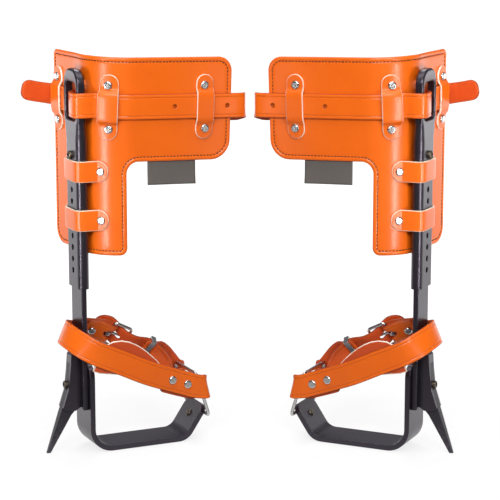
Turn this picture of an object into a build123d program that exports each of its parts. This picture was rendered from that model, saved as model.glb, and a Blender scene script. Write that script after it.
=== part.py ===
from build123d import *
from math import cos, degrees, pi, radians, sin, sqrt, tan
import os

# Tree climbing spikes: a mirrored pair of leg irons with leather pads and straps.
# One spike is built in its own frame: X runs from the shank to the stirrup's free end,
# Y from the heel side to the toe side, Z up, with the shank's middle on the Z axis.
# Sizes are in millimetres and angles in degrees.

# The pair
SPIKE_YAW = 25.0
SHANK_SPACING = 374.0

# Clearances
SLIDE_PLAY = 0.4
CLEAR = 0.3
PIN_PLAY = 0.35
HOLE_PLAY = 0.1
SEAT = 0.1

# Shank bar, flat steel
BAR_WIDTH = 32.0
BAR_THICK = 6.0
BAR_EDGE = 1.0
BAR_FOOT = 48.0
BAR_HEAD = 344.0

# Leg tube: a flat-oval tube, flattened at the top into a strap loop
TUBE_WALL = 3.0
TUBE_FOOT = 184.5
TUBE_ABOVE_BAR = 3.0
NECK_HEIGHT = 19.0
LOOP_HEIGHT = 57.5
LOOP_WIDTH = 43.0
LOOP_THICK = 9.5
LOOP_EDGE = 2.6
LOOP_RIM = 5.0
LOOP_TOP_RIM = 14.0
LOOP_CORNER = 17.0
WINDOW_CORNER = 7.0
RIM_ROUND = 1.8
HOLE_PITCH = 12.7
HOLE_COUNT = 11
HOLE_DIAMETER = 6.6
SCREW_ABOVE_KEEPER = 0.7
SCREW_DIAMETER = 6.0
SCREW_HEAD_DIAMETER = 9.0
SCREW_HEAD_HEIGHT = 4.0

# Stirrup, flat steel bent twice
STIRRUP_WIDTH = 45.0
STIRRUP_THICK = 5.5
STIRRUP_HEAD = 99.0
STIRRUP_REACH = 118.7
STIRRUP_HEEL_RADIUS = 26.0
STIRRUP_TOE_RADIUS = 20.0
STIRRUP_END_ANGLE = 56.0
STIRRUP_END_LENGTH = 44.0
STIRRUP_END_ROUND = 11.0
STIRRUP_HEAD_ROUND = 15.0

# Gaff and its two-cheek gusset
GAFF_THICK = 9.0
GAFF_TIP_THICK = 3.5
GAFF_TIP_REACH = 41.0
GAFF_TIP_WIDTH = 4.0
GAFF_FLAT = 15.9
GAFF_HEAD = 100.0
GAFF_BACK = [(-14.4, 92.0), (-17.1, 69.4), (-23.4, 50.6)]
GAFF_SHOULDER = 50.0
CHEEK_THICK = 3.0
CHEEK_HEAD = 112.0
GAFF_SCREW_HEIGHT = 75.5
GAFF_SCREW_DIAMETER = 6.0
GAFF_SCREW_HEAD_DIAMETER = 8.5
GAFF_SCREW_HEAD_HEIGHT = 4.0

# Strap ring, its saddle clip and the clip's rivet
RING_WIRE = 4.0
RING_SPAN = 62.0
RING_HEIGHT = 52.0
RING_CORNER = 5.0
RING_LEAN = 17.0
RING_SEAT = 36.5
CLIP_THICK = 2.2
CLIP_WIDTH = 18.0
CLIP_TAB = 18.0
CLIP_TOE = 7.0
CLIP_RIVET_SETBACK = 9.0
CLIP_RIVET_DIAMETER = 5.0
CLIP_RIVET_HEAD = 8.0

# Leather
STRAP_WIDTH = 27.0
STRAP_THICK = 3.0
KEEPER_WIDTH = 20.0
KEEPER_THICK = 2.4
PAD_LEATHER = 2.2
PAD_LINING = 2.8

# Calf pad: a rear panel along the tube, a bend, and a side panel that droops a little
PAD_ABOVE_LOOP = 14.5
PAD_HEIGHT = 216.0
PAD_BEND = 45.0
PAD_BEND_START = 7.0
PAD_REAR = 74.0
PAD_FLARE = 5.5
PAD_FLARE_START = 22.0
PAD_LENGTH = 161.0
PAD_SIDE_DROP = 112.5
PAD_TAIL_REACH = 43.0
PAD_DROOP = 2.0
PAD_SIDE_CORNER = 16.0
PAD_NOTCH_CORNER = 13.0
PAD_TAIL_CORNER = 8.0
PAD_REAR_TOP_CORNER = 7.0
PAD_REAR_FOOT_CORNER = 18.0
LABEL_WIDTH = 56.0
LABEL_DROP = 26.0
LABEL_TUCK = 8.0
LABEL_THICK = 0.8
LABEL_START = 67.7

# Strap keepers on the pad, by their distance round it from the start of the bend
REAR_KEEPER_AT = -53.0
MIDDLE_KEEPER_AT = 43.5
FRONT_KEEPER_SETBACK = 34.5
KEEPER_HEIGHT = 70.5
KEEPER_RIVET_SPACING = 47.0
STRAP_ABOVE_NECK = 19.8
SHANK_KEEPER_HEIGHT = 23.0
UPPER_KEEPER_BELOW_NECK = 33.2
LOWER_KEEPER_ABOVE_FOOT = 38.5
SHANK_KEEPER_TAB_END = 54.0
SHANK_KEEPER_RIVET = 43.5
SHANK_KEEPER_REACH = 47.0
SHANK_KEEPER_REAR_RIVET = 37.0

# Double-cap rivets
RIVET_SHANK = 4.0
RIVET_CAP = 9.5
RIVET_CAP_HEIGHT = 2.0

# Buckles: a wire frame with a prong on its heel bar
BUCKLE_WIRE = 3.5
BUCKLE_LENGTH = 22.0
BUCKLE_SIDE_ROOM = 1.0
BUCKLE_CORNER = 3.5
PRONG_WIRE = 2.8
PRONG_EYE_WALL = 1.75
PRONG_EYE_LENGTH = 4.4
PRONG_OVERHANG = 2.5

# Calf strap: its loop past the pad, its run behind the leg and its buckle there
CALF_LOOP_PAST_PAD = 16.3
CALF_LOOP_RADIUS = 9.0
CALF_BUCKLE_RUN = 70.0
CALF_RETURN_DROP = 12.0
CALF_TURN_RISE = 0.5
CALF_TAIL_RISE = 7.0
STRAP_HOLE = 5.0
STRAP_HOLE_PITCH = 31.0
FIRST_STRAP_HOLE = 98.0

# Foot straps and their buckle
FOOT_BUCKLE_PLACE = (42.0, 23.5, 123.5)
FOOT_BUCKLE_SLOPE = 27.0
INSTEP_LEAN = 35.0
SLIDE_RUN = 52.0
SLIDE_LENGTH = 6.0
SLIDE_WALL = 1.4
HEEL_LEAN = 23.0
HEEL_PAD_THICK = 2.5
HEEL_PAD_BACK = 7.0
HEEL_PAD_FRONT = 82.0
HEEL_PAD_BREADTH = 40.0
HEEL_PAD_RISE = 7.5
HEEL_PAD_DROP = 16.0
POCKET_END = 134.0
POCKET_LEVEL = 66.5
POCKET_TAIL_DROP = 6.0
POCKET_LEAN = 13.0

# Sizes that follow from the ones above
UP = Vector(0, 0, 1)
TUBE_WIDTH = BAR_WIDTH + 2 * (SLIDE_PLAY + TUBE_WALL)
TUBE_THICK = BAR_THICK + 2 * (SLIDE_PLAY + TUBE_WALL)
NECK_FOOT = BAR_HEAD + TUBE_ABOVE_BAR
LOOP_FOOT = NECK_FOOT + NECK_HEIGHT
LOOP_HEAD = LOOP_FOOT + LOOP_HEIGHT
PAD_TOP = LOOP_HEAD + PAD_ABOVE_LOOP
PAD_FOOT = PAD_TOP - PAD_HEIGHT
STRAP_LEVEL = LOOP_FOOT + STRAP_ABOVE_NECK
UPPER_SHANK_KEEPER = NECK_FOOT - UPPER_KEEPER_BELOW_NECK
LOWER_SHANK_KEEPER = PAD_FOOT + LOWER_KEEPER_ABOVE_FOOT
TOP_HOLE = UPPER_SHANK_KEEPER + SHANK_KEEPER_HEIGHT / 2 + SCREW_ABOVE_KEEPER + SCREW_HEAD_DIAMETER / 2
CALF_RETURN_LEVEL = STRAP_LEVEL - CALF_RETURN_DROP
CALF_TURN_LEVEL = STRAP_LEVEL + CALF_TURN_RISE
CALF_TAIL_LEVEL = STRAP_LEVEL + CALF_TAIL_RISE
KEEPER_END = KEEPER_WIDTH / 2 - SEAT
PAD_FACE = TUBE_THICK / 2 + CLEAR
PAD_THICK = PAD_LEATHER + PAD_LINING
BEND_CENTRE = Vector(PAD_FACE + PAD_BEND, PAD_BEND_START)
BEND_RUN = PAD_BEND * pi / 2
FLARE_RUN = PAD_BEND_START - PAD_FLARE_START
REAR_END_FACE = PAD_FACE - (PAD_REAR - PAD_FLARE_START) * tan(radians(PAD_FLARE))
PAD_END = PAD_FACE + PAD_LENGTH * cos(radians(PAD_DROOP))
FRONT_KEEPER_AT = BEND_RUN + PAD_END - BEND_CENTRE.X - FRONT_KEEPER_SETBACK
CALF_LOOP_END = PAD_END + CALF_LOOP_PAST_PAD
PAD_SIDE_FACE = PAD_BEND_START - PAD_BEND
STRAP_LIFT = CLEAR + STRAP_THICK / 2
LOOP_PLACE = PAD_FACE - 2 * CLEAR - SEAT - STRAP_THICK - LOOP_THICK / 2
RING_RADIUS = RING_WIRE / 2
BUCKLE_RADIUS = BUCKLE_WIRE / 2
SCREW_FACE = TUBE_THICK / 2
CLIP_RIVET_AT = RING_SEAT - CLIP_RIVET_SETBACK
CLIP_RIVET_GRIP = STIRRUP_THICK + CLIP_THICK
GAFF_SCREW_REACH = GAFF_FLAT

# The stirrup's upturned end, the clip's rivet, the ring's hinge and the gaff's screw
END_ALONG = Vector(cos(radians(STIRRUP_END_ANGLE)), 0, sin(radians(STIRRUP_END_ANGLE)))
END_INWARD = Vector(-END_ALONG.Z, 0, END_ALONG.X)
END_FOOT = Vector(STIRRUP_REACH, 0, 0)
END_PLANE = Plane(END_FOOT, x_dir=END_ALONG, z_dir=(0, -1, 0))
RING_HINGE = END_FOOT + END_ALONG * RING_SEAT - END_INWARD * (RING_RADIUS + PIN_PLAY)
CLIP_RIVET_PLANE = Plane(
    END_FOOT + END_ALONG * CLIP_RIVET_AT + END_INWARD * STIRRUP_THICK, x_dir=(0, 1, 0), z_dir=END_INWARD
)
GAFF_SCREW_PLANE = Plane((-GAFF_FLAT, 0, GAFF_SCREW_HEIGHT), x_dir=(0, 1, 0), z_dir=(-1, 0, 0))

# Each buckle's frame: X from the heel bar to the tip bar, Z outward from the leg or foot
FOOT_ALONG = Vector(cos(radians(FOOT_BUCKLE_SLOPE)), 0, -sin(radians(FOOT_BUCKLE_SLOPE)))
FOOT_ACROSS = Vector(sin(radians(FOOT_BUCKLE_SLOPE)), 0, cos(radians(FOOT_BUCKLE_SLOPE)))
FOOT_OUTWARD = FOOT_ACROSS * sin(radians(INSTEP_LEAN)) + Vector(0, cos(radians(INSTEP_LEAN)), 0)
FOOT_BUCKLE = Plane(FOOT_BUCKLE_PLACE, x_dir=FOOT_ALONG, z_dir=FOOT_OUTWARD)
CALF_TURN = (REAR_END_FACE + PAD_THICK + 2.3, PAD_REAR + 8.0, CALF_TURN_LEVEL)
CALF_RETURN_SIDE = PAD_SIDE_FACE - STRAP_LIFT + 2 * CALF_LOOP_RADIUS
CALF_RETURN = (CALF_LOOP_END - CALF_LOOP_RADIUS, CALF_RETURN_SIDE, CALF_RETURN_LEVEL)
CALF_ALONG = (Vector(*CALF_RETURN) - Vector(*CALF_TURN)).normalized()
CALF_OUTWARD = Vector(-CALF_ALONG.Y, CALF_ALONG.X, 0)
CALF_BUCKLE = Plane(Vector(*CALF_TURN) + CALF_ALONG * CALF_BUCKLE_RUN, x_dir=CALF_ALONG, z_dir=CALF_OUTWARD)


def prism(plane, outline, depth, both=False):
    """A solid with a straight-sided outline, drawn on a plane."""
    face = make_face(Polyline(*outline, close=True))
    return extrude(plane * face, depth / 2 if both else depth, both=both)


def rounded(face, corners):
    """A flat outline with some of its corners rounded: pairs of a corner's place and its radius."""
    for place, radius in corners:
        corner = min(face.vertices(), key=lambda v: (Vector(*v) - Vector(*place, 0)).length)
        face = fillet(corner, radius)
    return face


def smooth(points, steps):
    """Points on a smooth curve through the given ones, as vectors."""
    ends = [points[0] * 2 - points[1], *points, points[-1] * 2 - points[-2]]
    curve = []
    for a, b, c, d in zip(ends, ends[1:], ends[2:], ends[3:]):
        for i in range(steps):
            t = i / steps
            bend = a * 2 - b * 5 + c * 4 - d
            twist = b * 3 - a - c * 3 + d
            curve.append((b * 2 + (c - a) * t + bend * t**2 + twist * t**3) * 0.5)
    return curve + [points[-1]]


def end_width(breadth, reach):
    """A half-round end's width at a distance from its tip."""
    short = 1 - max(reach, 0.08 * breadth) / (breadth / 2)
    return breadth * sqrt(1 - short**2) if short > 0 else breadth


def ribbon(route, thickness, steps=4, round_start=False, round_end=False):
    """A flat strap along a smooth route of (place, width direction, width) triples."""
    places = smooth([Vector(*place) for place, _, _ in route], steps)
    widths = smooth([Vector(*across) for _, across, _ in route], steps)
    breadths = [v.X for v in smooth([Vector(breadth, 0, 0) for _, _, breadth in route], steps)]
    reaches = [0.0]
    for before, place in zip(places, places[1:]):
        reaches.append(reaches[-1] + (place - before).length)
    if round_start:
        breadths = [end_width(breadth, reach) for breadth, reach in zip(breadths, reaches)]
    if round_end:
        breadths = [end_width(breadth, reaches[-1] - reach) for breadth, reach in zip(breadths, reaches)]
    sections = []
    for i, (place, across, breadth) in enumerate(zip(places, widths, breadths)):
        along = (places[min(i + 1, len(places) - 1)] - places[max(i - 1, 0)]).normalized()
        across = (across - along * across.dot(along)).normalized()
        half = across * (breadth / 2)
        skin = along.cross(across) * (thickness / 2)
        corners = [place + half + skin, place - half + skin, place - half - skin, place + half - skin]
        sections.append(make_face(Polyline(*corners, close=True)))
    return loft(sections, ruled=True)


def along_route(places, across=UP, breadth=STRAP_WIDTH):
    """Route triples that share one width direction and one width."""
    return [(place, across, breadth) for place in places]


def pad_plane(run, level):
    """The plane on the pad's outer face, at a distance round it from the start of the bend."""
    turn = min(max(run / PAD_BEND, 0.0), pi / 2)
    outward = Vector(-cos(turn), -sin(turn), 0)
    onward = Vector(sin(turn), -cos(turn), 0)
    past = max(run, FLARE_RUN) - turn * PAD_BEND
    place = BEND_CENTRE + outward * PAD_BEND + onward * past
    if run < FLARE_RUN:
        flare = radians(PAD_FLARE)
        outward = Vector(-cos(flare), -sin(flare), 0)
        onward = Vector(sin(flare), -cos(flare), 0)
        place = place + onward * (run - FLARE_RUN)
    return Plane((place.X, place.Y, level), x_dir=onward, z_dir=outward)


def rear_face(side):
    """How far out the rear panel's outer face is, at a distance towards the toe side."""
    return PAD_FACE - max(side - PAD_FLARE_START, 0.0) * tan(radians(PAD_FLARE))


def droop(run):
    """How far the pad and strap have sunk at a distance round the pad."""
    return max(run, 0.0) * tan(radians(PAD_DROOP))


def rivet(plane, grip, cap=RIVET_CAP, shank=RIVET_SHANK, height=RIVET_CAP_HEIGHT):
    """A double-cap rivet through a grip below the plane."""
    dome = Cylinder(cap / 2, height, align=(Align.CENTER, Align.CENTER, Align.MIN))
    dome = fillet(dome.edges().sort_by(Axis.Z)[-1], height * 0.8)
    stem = Cylinder(shank / 2, grip, align=(Align.CENTER, Align.CENTER, Align.MAX))
    foot = Pos(0, 0, -grip) * Rot(180, 0, 0) * dome
    return plane * (dome + stem + foot)


def drill(plane, depth, diameter):
    """A round hole through everything within a depth of the plane, both ways."""
    return plane * Cylinder(diameter / 2, 2 * depth)


def flat_oval(width, thick, foot, head):
    """An upright flat-oval column."""
    return extrude(Pos(0, 0, foot) * Rot(0, 0, 90) * SlotOverall(width, thick), head - foot)


# Shank bar and leg tube


def shank_bar():
    section = RectangleRounded(BAR_THICK, BAR_WIDTH, BAR_EDGE)
    bar = extrude(Pos(0, 0, BAR_FOOT) * section, BAR_HEAD - BAR_FOOT)
    return bar - drill(GAFF_SCREW_PLANE, GAFF_SCREW_REACH, GAFF_SCREW_DIAMETER + HOLE_PLAY)


def leg_tube():
    column = flat_oval(TUBE_WIDTH, TUBE_THICK, TUBE_FOOT, NECK_FOOT)
    neck = loft(
        [
            Pos(0, 0, NECK_FOOT) * Rot(0, 0, 90) * SlotOverall(TUBE_WIDTH, TUBE_THICK),
            Pos(LOOP_PLACE, 0, LOOP_FOOT) * Rot(0, 0, 90) * SlotOverall(LOOP_WIDTH, LOOP_THICK),
        ]
    )
    half = LOOP_WIDTH / 2
    outline = make_face(
        Polyline((-half, LOOP_FOOT), (half, LOOP_FOOT), (half, LOOP_HEAD), (-half, LOOP_HEAD), close=True)
    )
    outline = rounded(outline, [((half, LOOP_HEAD), LOOP_CORNER), ((-half, LOOP_HEAD), LOOP_CORNER)])
    loop = Pos(LOOP_PLACE, 0, 0) * extrude(Plane.YZ * outline, LOOP_THICK / 2, both=True)
    rim = [e for e in loop.edges() if e.center().Z > LOOP_FOOT + 1]
    rim = [e for e in rim if abs(e.center().X - LOOP_PLACE) > LOOP_THICK / 2 - 0.1]
    loop = fillet(rim, LOOP_EDGE)
    window_head = LOOP_HEAD - LOOP_TOP_RIM
    window_foot = LOOP_FOOT + LOOP_RIM / 2
    window = Pos(0, (window_head + window_foot) / 2) * RectangleRounded(
        LOOP_WIDTH - 2 * LOOP_RIM, window_head - window_foot, WINDOW_CORNER
    )
    loop = loop - extrude(Plane.YZ * window, 2 * LOOP_THICK, both=True)
    rim = [e for e in loop.edges() if window_foot - 1 < e.center().Z < window_head + 1]
    rim = [e for e in rim if abs(e.center().Y) < half - LOOP_RIM + 0.1]
    loop = fillet([e for e in rim if abs(e.center().X - LOOP_PLACE) > LOOP_THICK / 2 - 0.1], RIM_ROUND)
    bore = RectangleRounded(BAR_THICK + 2 * SLIDE_PLAY, BAR_WIDTH + 2 * SLIDE_PLAY, BAR_EDGE)
    cavity = extrude(Pos(0, 0, TUBE_FOOT - 1) * bore, BAR_HEAD + CLEAR + 1 - TUBE_FOOT)
    tube = column + neck + loop - cavity
    for i in range(HOLE_COUNT):
        hole = Plane((-SCREW_FACE, 0, TOP_HOLE - i * HOLE_PITCH), x_dir=(0, 1, 0), z_dir=(-1, 0, 0))
        tube -= drill(hole, TUBE_WALL, HOLE_DIAMETER)
    return tube


def height_screw():
    plane = Plane((-SCREW_FACE, 0, TOP_HOLE), x_dir=(0, 1, 0), z_dir=(-1, 0, 0))
    head = Cylinder(SCREW_HEAD_DIAMETER / 2, SCREW_HEAD_HEIGHT, align=(Align.CENTER, Align.CENTER, Align.MIN))
    head = fillet(head.edges().sort_by(Axis.Z)[-1], SCREW_HEAD_HEIGHT * 0.5)
    socket = extrude(RegularPolygon(SCREW_DIAMETER * 0.42, 6), -SCREW_HEAD_HEIGHT * 0.6)
    socket = Pos(0, 0, SCREW_HEAD_HEIGHT) * socket
    stem = Cylinder(SCREW_DIAMETER / 2, TUBE_WALL, align=(Align.CENTER, Align.CENTER, Align.MAX))
    return plane * (head - socket + stem)


# Stirrup, gaff and strap ring


def stirrup():
    turn = radians(STIRRUP_END_ANGLE)
    face = BAR_THICK / 2
    end = (STIRRUP_REACH + cos(turn) * STIRRUP_END_LENGTH, sin(turn) * STIRRUP_END_LENGTH)
    inner_end = (end[0] - sin(turn) * STIRRUP_THICK, end[1] + cos(turn) * STIRRUP_THICK)
    inner_toe = (STIRRUP_REACH - tan(turn / 2) * STIRRUP_THICK, STIRRUP_THICK)
    inner_head = (face + STIRRUP_THICK, STIRRUP_HEAD)
    inner_heel = (face + STIRRUP_THICK, STIRRUP_THICK)
    outer_bends = [(face, STIRRUP_HEAD), (face, 0), (STIRRUP_REACH, 0), end]
    inner_bends = [inner_end, inner_toe, inner_heel, inner_head]
    outline = make_face(Polyline(*outer_bends, *inner_bends, close=True))
    outline = rounded(
        outline,
        [
            ((face, 0), STIRRUP_HEEL_RADIUS),
            (inner_heel, STIRRUP_HEEL_RADIUS - STIRRUP_THICK),
            ((STIRRUP_REACH, 0), STIRRUP_TOE_RADIUS),
            (inner_toe, STIRRUP_TOE_RADIUS - STIRRUP_THICK),
        ],
    )
    bent = extrude(Plane.XZ * outline, STIRRUP_WIDTH / 2, both=True)
    across = [e for e in bent.edges() if abs(e.length - STIRRUP_THICK) < 0.01 and abs(e.center().Y) > 1]
    bent = fillet([e for e in across if e.center().X > STIRRUP_REACH], STIRRUP_END_ROUND)
    across = [e for e in bent.edges() if abs(e.length - STIRRUP_THICK) < 0.01 and abs(e.center().Y) > 1]
    bent = fillet([e for e in across if e.center().Z > STIRRUP_HEAD - 1], STIRRUP_HEAD_ROUND)
    return bent - drill(CLIP_RIVET_PLANE, CLIP_RIVET_GRIP, CLIP_RIVET_DIAMETER + HOLE_PLAY)


def gaff():
    face = -BAR_THICK / 2
    flat = 5.0
    outline = [
        (face, GAFF_HEAD),
        (face, GAFF_SHOULDER),
        (-5.6, 48.4),
        (-8.4, 46.4),
        (-13.1, 41.2),
        (GAFF_TIP_WIDTH - GAFF_TIP_REACH, 0),
        (-GAFF_TIP_REACH, 0),
        GAFF_BACK[2],
        GAFF_BACK[1],
        (-GAFF_FLAT, GAFF_SCREW_HEIGHT - flat),
        (-GAFF_FLAT, GAFF_SCREW_HEIGHT + flat),
        GAFF_BACK[0],
        (-13.7, GAFF_HEAD),
    ]
    blade = prism(Plane.XZ, outline, GAFF_THICK, both=True)
    wide = GAFF_THICK / 2
    thin = GAFF_TIP_THICK / 2
    taper = [(-wide, GAFF_HEAD), (wide, GAFF_HEAD), (wide, 44.0), (thin, 0), (-thin, 0), (-wide, 44.0)]
    blade = blade & prism(Plane.YZ, taper, 2 * GAFF_TIP_REACH, both=True)
    return blade - drill(GAFF_SCREW_PLANE, GAFF_SCREW_REACH, GAFF_SCREW_DIAMETER + HOLE_PLAY)


def gaff_gusset():
    face = -BAR_THICK / 2
    outline = [
        (face, CHEEK_HEAD),
        (-10.5, CHEEK_HEAD),
        (-13.1, CHEEK_HEAD - 3.0),
        *GAFF_BACK,
        (-21.2, 47.5),
        (-9.0, 46.2),
        (face, GAFF_SHOULDER),
    ]
    cheeks = prism(Plane.XZ, outline, GAFF_THICK + 2 * CHEEK_THICK, both=True)
    slot = Pos(-GAFF_TIP_REACH, 0, GAFF_HEAD / 2) * Box(2 * GAFF_TIP_REACH, GAFF_THICK, GAFF_HEAD)
    return cheeks - slot


def gaff_screw():
    head = Cylinder(
        GAFF_SCREW_HEAD_DIAMETER / 2, GAFF_SCREW_HEAD_HEIGHT, align=(Align.CENTER, Align.CENTER, Align.MIN)
    )
    head = fillet(head.edges().sort_by(Axis.Z)[-1], 0.8)
    socket = Pos(0, 0, GAFF_SCREW_HEAD_HEIGHT) * extrude(RegularPolygon(2.6, 6), -3.0)
    stem = Cylinder(GAFF_SCREW_DIAMETER / 2, GAFF_SCREW_REACH - SEAT)
    return GAFF_SCREW_PLANE * (head - socket + Pos(0, 0, (SEAT - GAFF_SCREW_REACH) / 2) * stem)


def ring_clip():
    room = RING_RADIUS + PIN_PLAY
    start = CLIP_RIVET_AT - CLIP_TAB / 2 + 1
    end = RING_SEAT + CLIP_TOE
    tab = Pos((start + end) / 2, -CLIP_THICK / 2) * Rectangle(end - start, CLIP_THICK)
    barrel = Pos(RING_SEAT, -room) * Circle(room + CLIP_THICK)
    throat = Pos(RING_SEAT, -room / 2) * Rectangle(2 * room, room)
    behind = Pos(RING_SEAT, 2 * room) * Rectangle(8 * room, 4 * room)
    profile = tab + barrel - behind - throat - Pos(RING_SEAT, -room) * Circle(room)
    clip = extrude(END_PLANE * profile, CLIP_WIDTH / 2, both=True)
    return clip - drill(CLIP_RIVET_PLANE, 2 * CLIP_RIVET_GRIP, CLIP_RIVET_DIAMETER + HOLE_PLAY)


def clip_rivet():
    return rivet(CLIP_RIVET_PLANE, CLIP_RIVET_GRIP, cap=CLIP_RIVET_HEAD, shank=CLIP_RIVET_DIAMETER)


def strap_ring():
    lean = radians(RING_LEAN)
    plane = Plane(RING_HINGE, x_dir=(0, 1, 0), z_dir=(cos(lean), 0, sin(lean)))
    bail = Pos(0, RING_HEIGHT / 2) * RectangleRounded(RING_SPAN, RING_HEIGHT, RING_CORNER)
    path = (plane * bail).wire()
    return sweep(Plane(path @ 0, z_dir=path % 0) * Circle(RING_RADIUS), path=path)


# Foot straps


def on_buckle(plane, places):
    """Places given in a buckle's own frame (along, across, outward), carried to the spike's frame."""
    return [plane.from_local_coords(Vector(*place)) for place in places]


def buckle_fold(near, far):
    """The strap end that wraps a buckle's heel bar; near and far are its sideways shifts where it doubles."""
    reach = BUCKLE_RADIUS + 0.55 + STRAP_THICK / 2
    bow = reach * 0.71
    half = STRAP_THICK / 2 + SEAT
    return [
        (-25.0, far, half + 0.05),
        (-19.0, (near + far) / 2, half + 0.05),
        (-14.0, near, half + 0.3),
        (-7.0, 0, 3.1),
        (0, 0, reach),
        (bow, 0, bow),
        (reach, 0, 0),
        (bow, 0, -bow),
        (0, 0, -reach),
        (-7.0, 0, -3.1),
        (-14.0, near, -half - 0.3),
        (-19.0, (near + far) / 2, -half - 0.05),
        (-25.0, far, -half - 0.05),
    ]


def buckle_cuts(plane):
    """The strap slots at a buckle: one for the prong's eye and one the prong passes through."""
    eye = Pos(0, 0, -1.3) * Box(12.0, PRONG_EYE_LENGTH + 1.4, 13.4)
    prong = Pos(10.9, 0, 0) * Box(17.4, PRONG_WIRE + 2.4, 22.0)
    return plane * (eye + prong)


def buckle_frame(plane):
    width = STRAP_WIDTH + 2 * BUCKLE_SIDE_ROOM + BUCKLE_WIRE
    outline = Pos(BUCKLE_LENGTH / 2, 0) * RectangleRounded(BUCKLE_LENGTH, width, BUCKLE_CORNER)
    path = (plane * outline).wire()
    return sweep(Plane(path @ 0, z_dir=path % 0) * Circle(BUCKLE_RADIUS), path=path)


def buckle_prong(plane):
    room = BUCKLE_RADIUS + PIN_PLAY
    eye = Rot(90, 0, 0) * (Cylinder(room + PRONG_EYE_WALL, PRONG_EYE_LENGTH) - Cylinder(room, PRONG_EYE_LENGTH))
    rest = BUCKLE_RADIUS + CLEAR + PRONG_WIRE / 2
    root = Vector(room + 0.9, 0, 1.6)
    tip = Vector(BUCKLE_LENGTH + PRONG_OVERHANG, 0, rest)
    rise = Plane(root, z_dir=tip - root)
    rod = extrude(rise * Circle(PRONG_WIRE / 2), (tip - root).length)
    rod = fillet(rod.edges().sort_by(Axis.X)[-1], PRONG_WIRE * 0.35)
    bar = Rot(90, 0, 0) * Cylinder(room, PRONG_EYE_LENGTH + 1)
    return plane * (eye + rod - bar)


def strap_rivet(plane, grip, room):
    """A rivet through two strap layers, or with some room round it the cut that it sits in."""
    return rivet(plane.offset(-room), grip - 2 * room, cap=RIVET_CAP + 2 * room, shank=RIVET_SHANK + 2 * room)


def fold_rivet(plane, shift, room=0.0):
    half = STRAP_THICK + 3 * SEAT
    place = plane.from_local_coords(Vector(-19.0, shift, half))
    return strap_rivet(Plane(place, x_dir=plane.x_dir, z_dir=plane.z_dir), 2 * half, room)


def heel_strap_route():
    """The strap's way from its tail round the ring's near leg, back round the heel and on to the buckle."""
    leg = RING_SPAN / 2
    gap = RING_RADIUS + PIN_PLAY + STRAP_THICK / 2
    low = POCKET_LEVEL - POCKET_TAIL_DROP
    inner = leg - gap
    outer = leg + gap
    turn = FOOT_BUCKLE.y_dir * -1
    tail = [
        (84.0, -leg - 2.7, 74.9),
        (94.0, -leg - 1.8, 71.0),
        (104.0, -leg - 0.8, 67.2),
        (112.5, -leg + 0.1, 64.1),
        (118.0, -leg + 1.9, 62.0),
        (123.5, -inner, low),
        (POCKET_END, -inner, low),
    ]
    fold = [
        (POCKET_END + gap * 0.71, -leg + gap * 0.71, low + 1.5),
        (POCKET_END + gap, -leg, low + 3.0),
        (POCKET_END + gap * 0.71, -leg - gap * 0.71, low + 4.5),
    ]
    side = [
        (POCKET_END, -outer, POCKET_LEVEL),
        (124.0, -outer, POCKET_LEVEL),
        (113.0, -leg - 3.4, 69.7),
        (94.0, -leg - 5.2, 77.0),
        (65.0, -leg - 8.2, 88.5),
        (33.0, -40.4, 104.0),
        (3.0, -38.0, 118.0),
    ]
    heel = [(-9.5, -28.5, 126.0), (-16.2, -12.5, 131.5), (-17.5, 4.0, 133.5), (-12.5, 18.5, 131.5)]
    route = along_route(tail)
    route += along_route(fold, Vector(-tan(radians(POCKET_LEAN)), 0, 1))
    route += along_route(side)
    for place in heel:
        inward = Vector(-place[0], -place[1], 0).normalized()
        route.append((place, UP + inward * tan(radians(HEEL_LEAN)), STRAP_WIDTH))
    route.append(((-3.0, 28.0, 128.5), UP + turn, STRAP_WIDTH))
    end = on_buckle(FOOT_BUCKLE, [(-33.0, 13.0, 1.7), *buckle_fold(1.5, 7.0)])
    return route + along_route(end, turn)


def heel_strap_rivets(room=0.0):
    route = [Vector(*place) for place, _, _ in heel_strap_route()]
    group = fold_rivet(FOOT_BUCKLE, 4.2, room)
    for i in (12, 13):
        along = (route[i + 1] - route[i - 1]).normalized()
        outward = along.cross(UP).normalized() * -1
        grip = 2 * STRAP_THICK + 4 * SEAT
        group += strap_rivet(Plane(route[i] + outward * (STRAP_THICK / 2 + SEAT), z_dir=outward), grip, room)
    return group


def heel_strap():
    return ribbon(heel_strap_route(), STRAP_THICK) - buckle_cuts(FOOT_BUCKLE) - heel_strap_rivets(HOLE_PLAY)


def heel_pad():
    """The guard inside the strap: broad towards the heel and drawn out in front, along the upper edge."""
    stretch = heel_strap_route()[12:19]
    places = smooth([Vector(*place) for place, _, _ in stretch], 12)
    widths = smooth([Vector(*across) for _, across, _ in stretch], 12)
    lift = STRAP_THICK / 2 + CLEAR + HEEL_PAD_THICK / 2
    route = []
    for before, place, after, up in zip(places, places[1:], places[2:], widths[1:]):
        if HEEL_PAD_BACK < place.X < HEEL_PAD_FRONT and place.Y < -25:
            along = (after - before).normalized()
            inward = along.cross(up).normalized()
            reach = (place.X - HEEL_PAD_BACK) / (HEEL_PAD_FRONT - HEEL_PAD_BACK)
            breadth = max(HEEL_PAD_BREADTH * sin(pi * reach**0.66) ** 0.62, 5.0)
            rise = HEEL_PAD_RISE - HEEL_PAD_DROP * (1 - reach) ** 4
            route.append((place + inward * lift + inward.cross(along) * rise, up, breadth))
    return ribbon(route, HEEL_PAD_THICK, steps=1)


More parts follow.
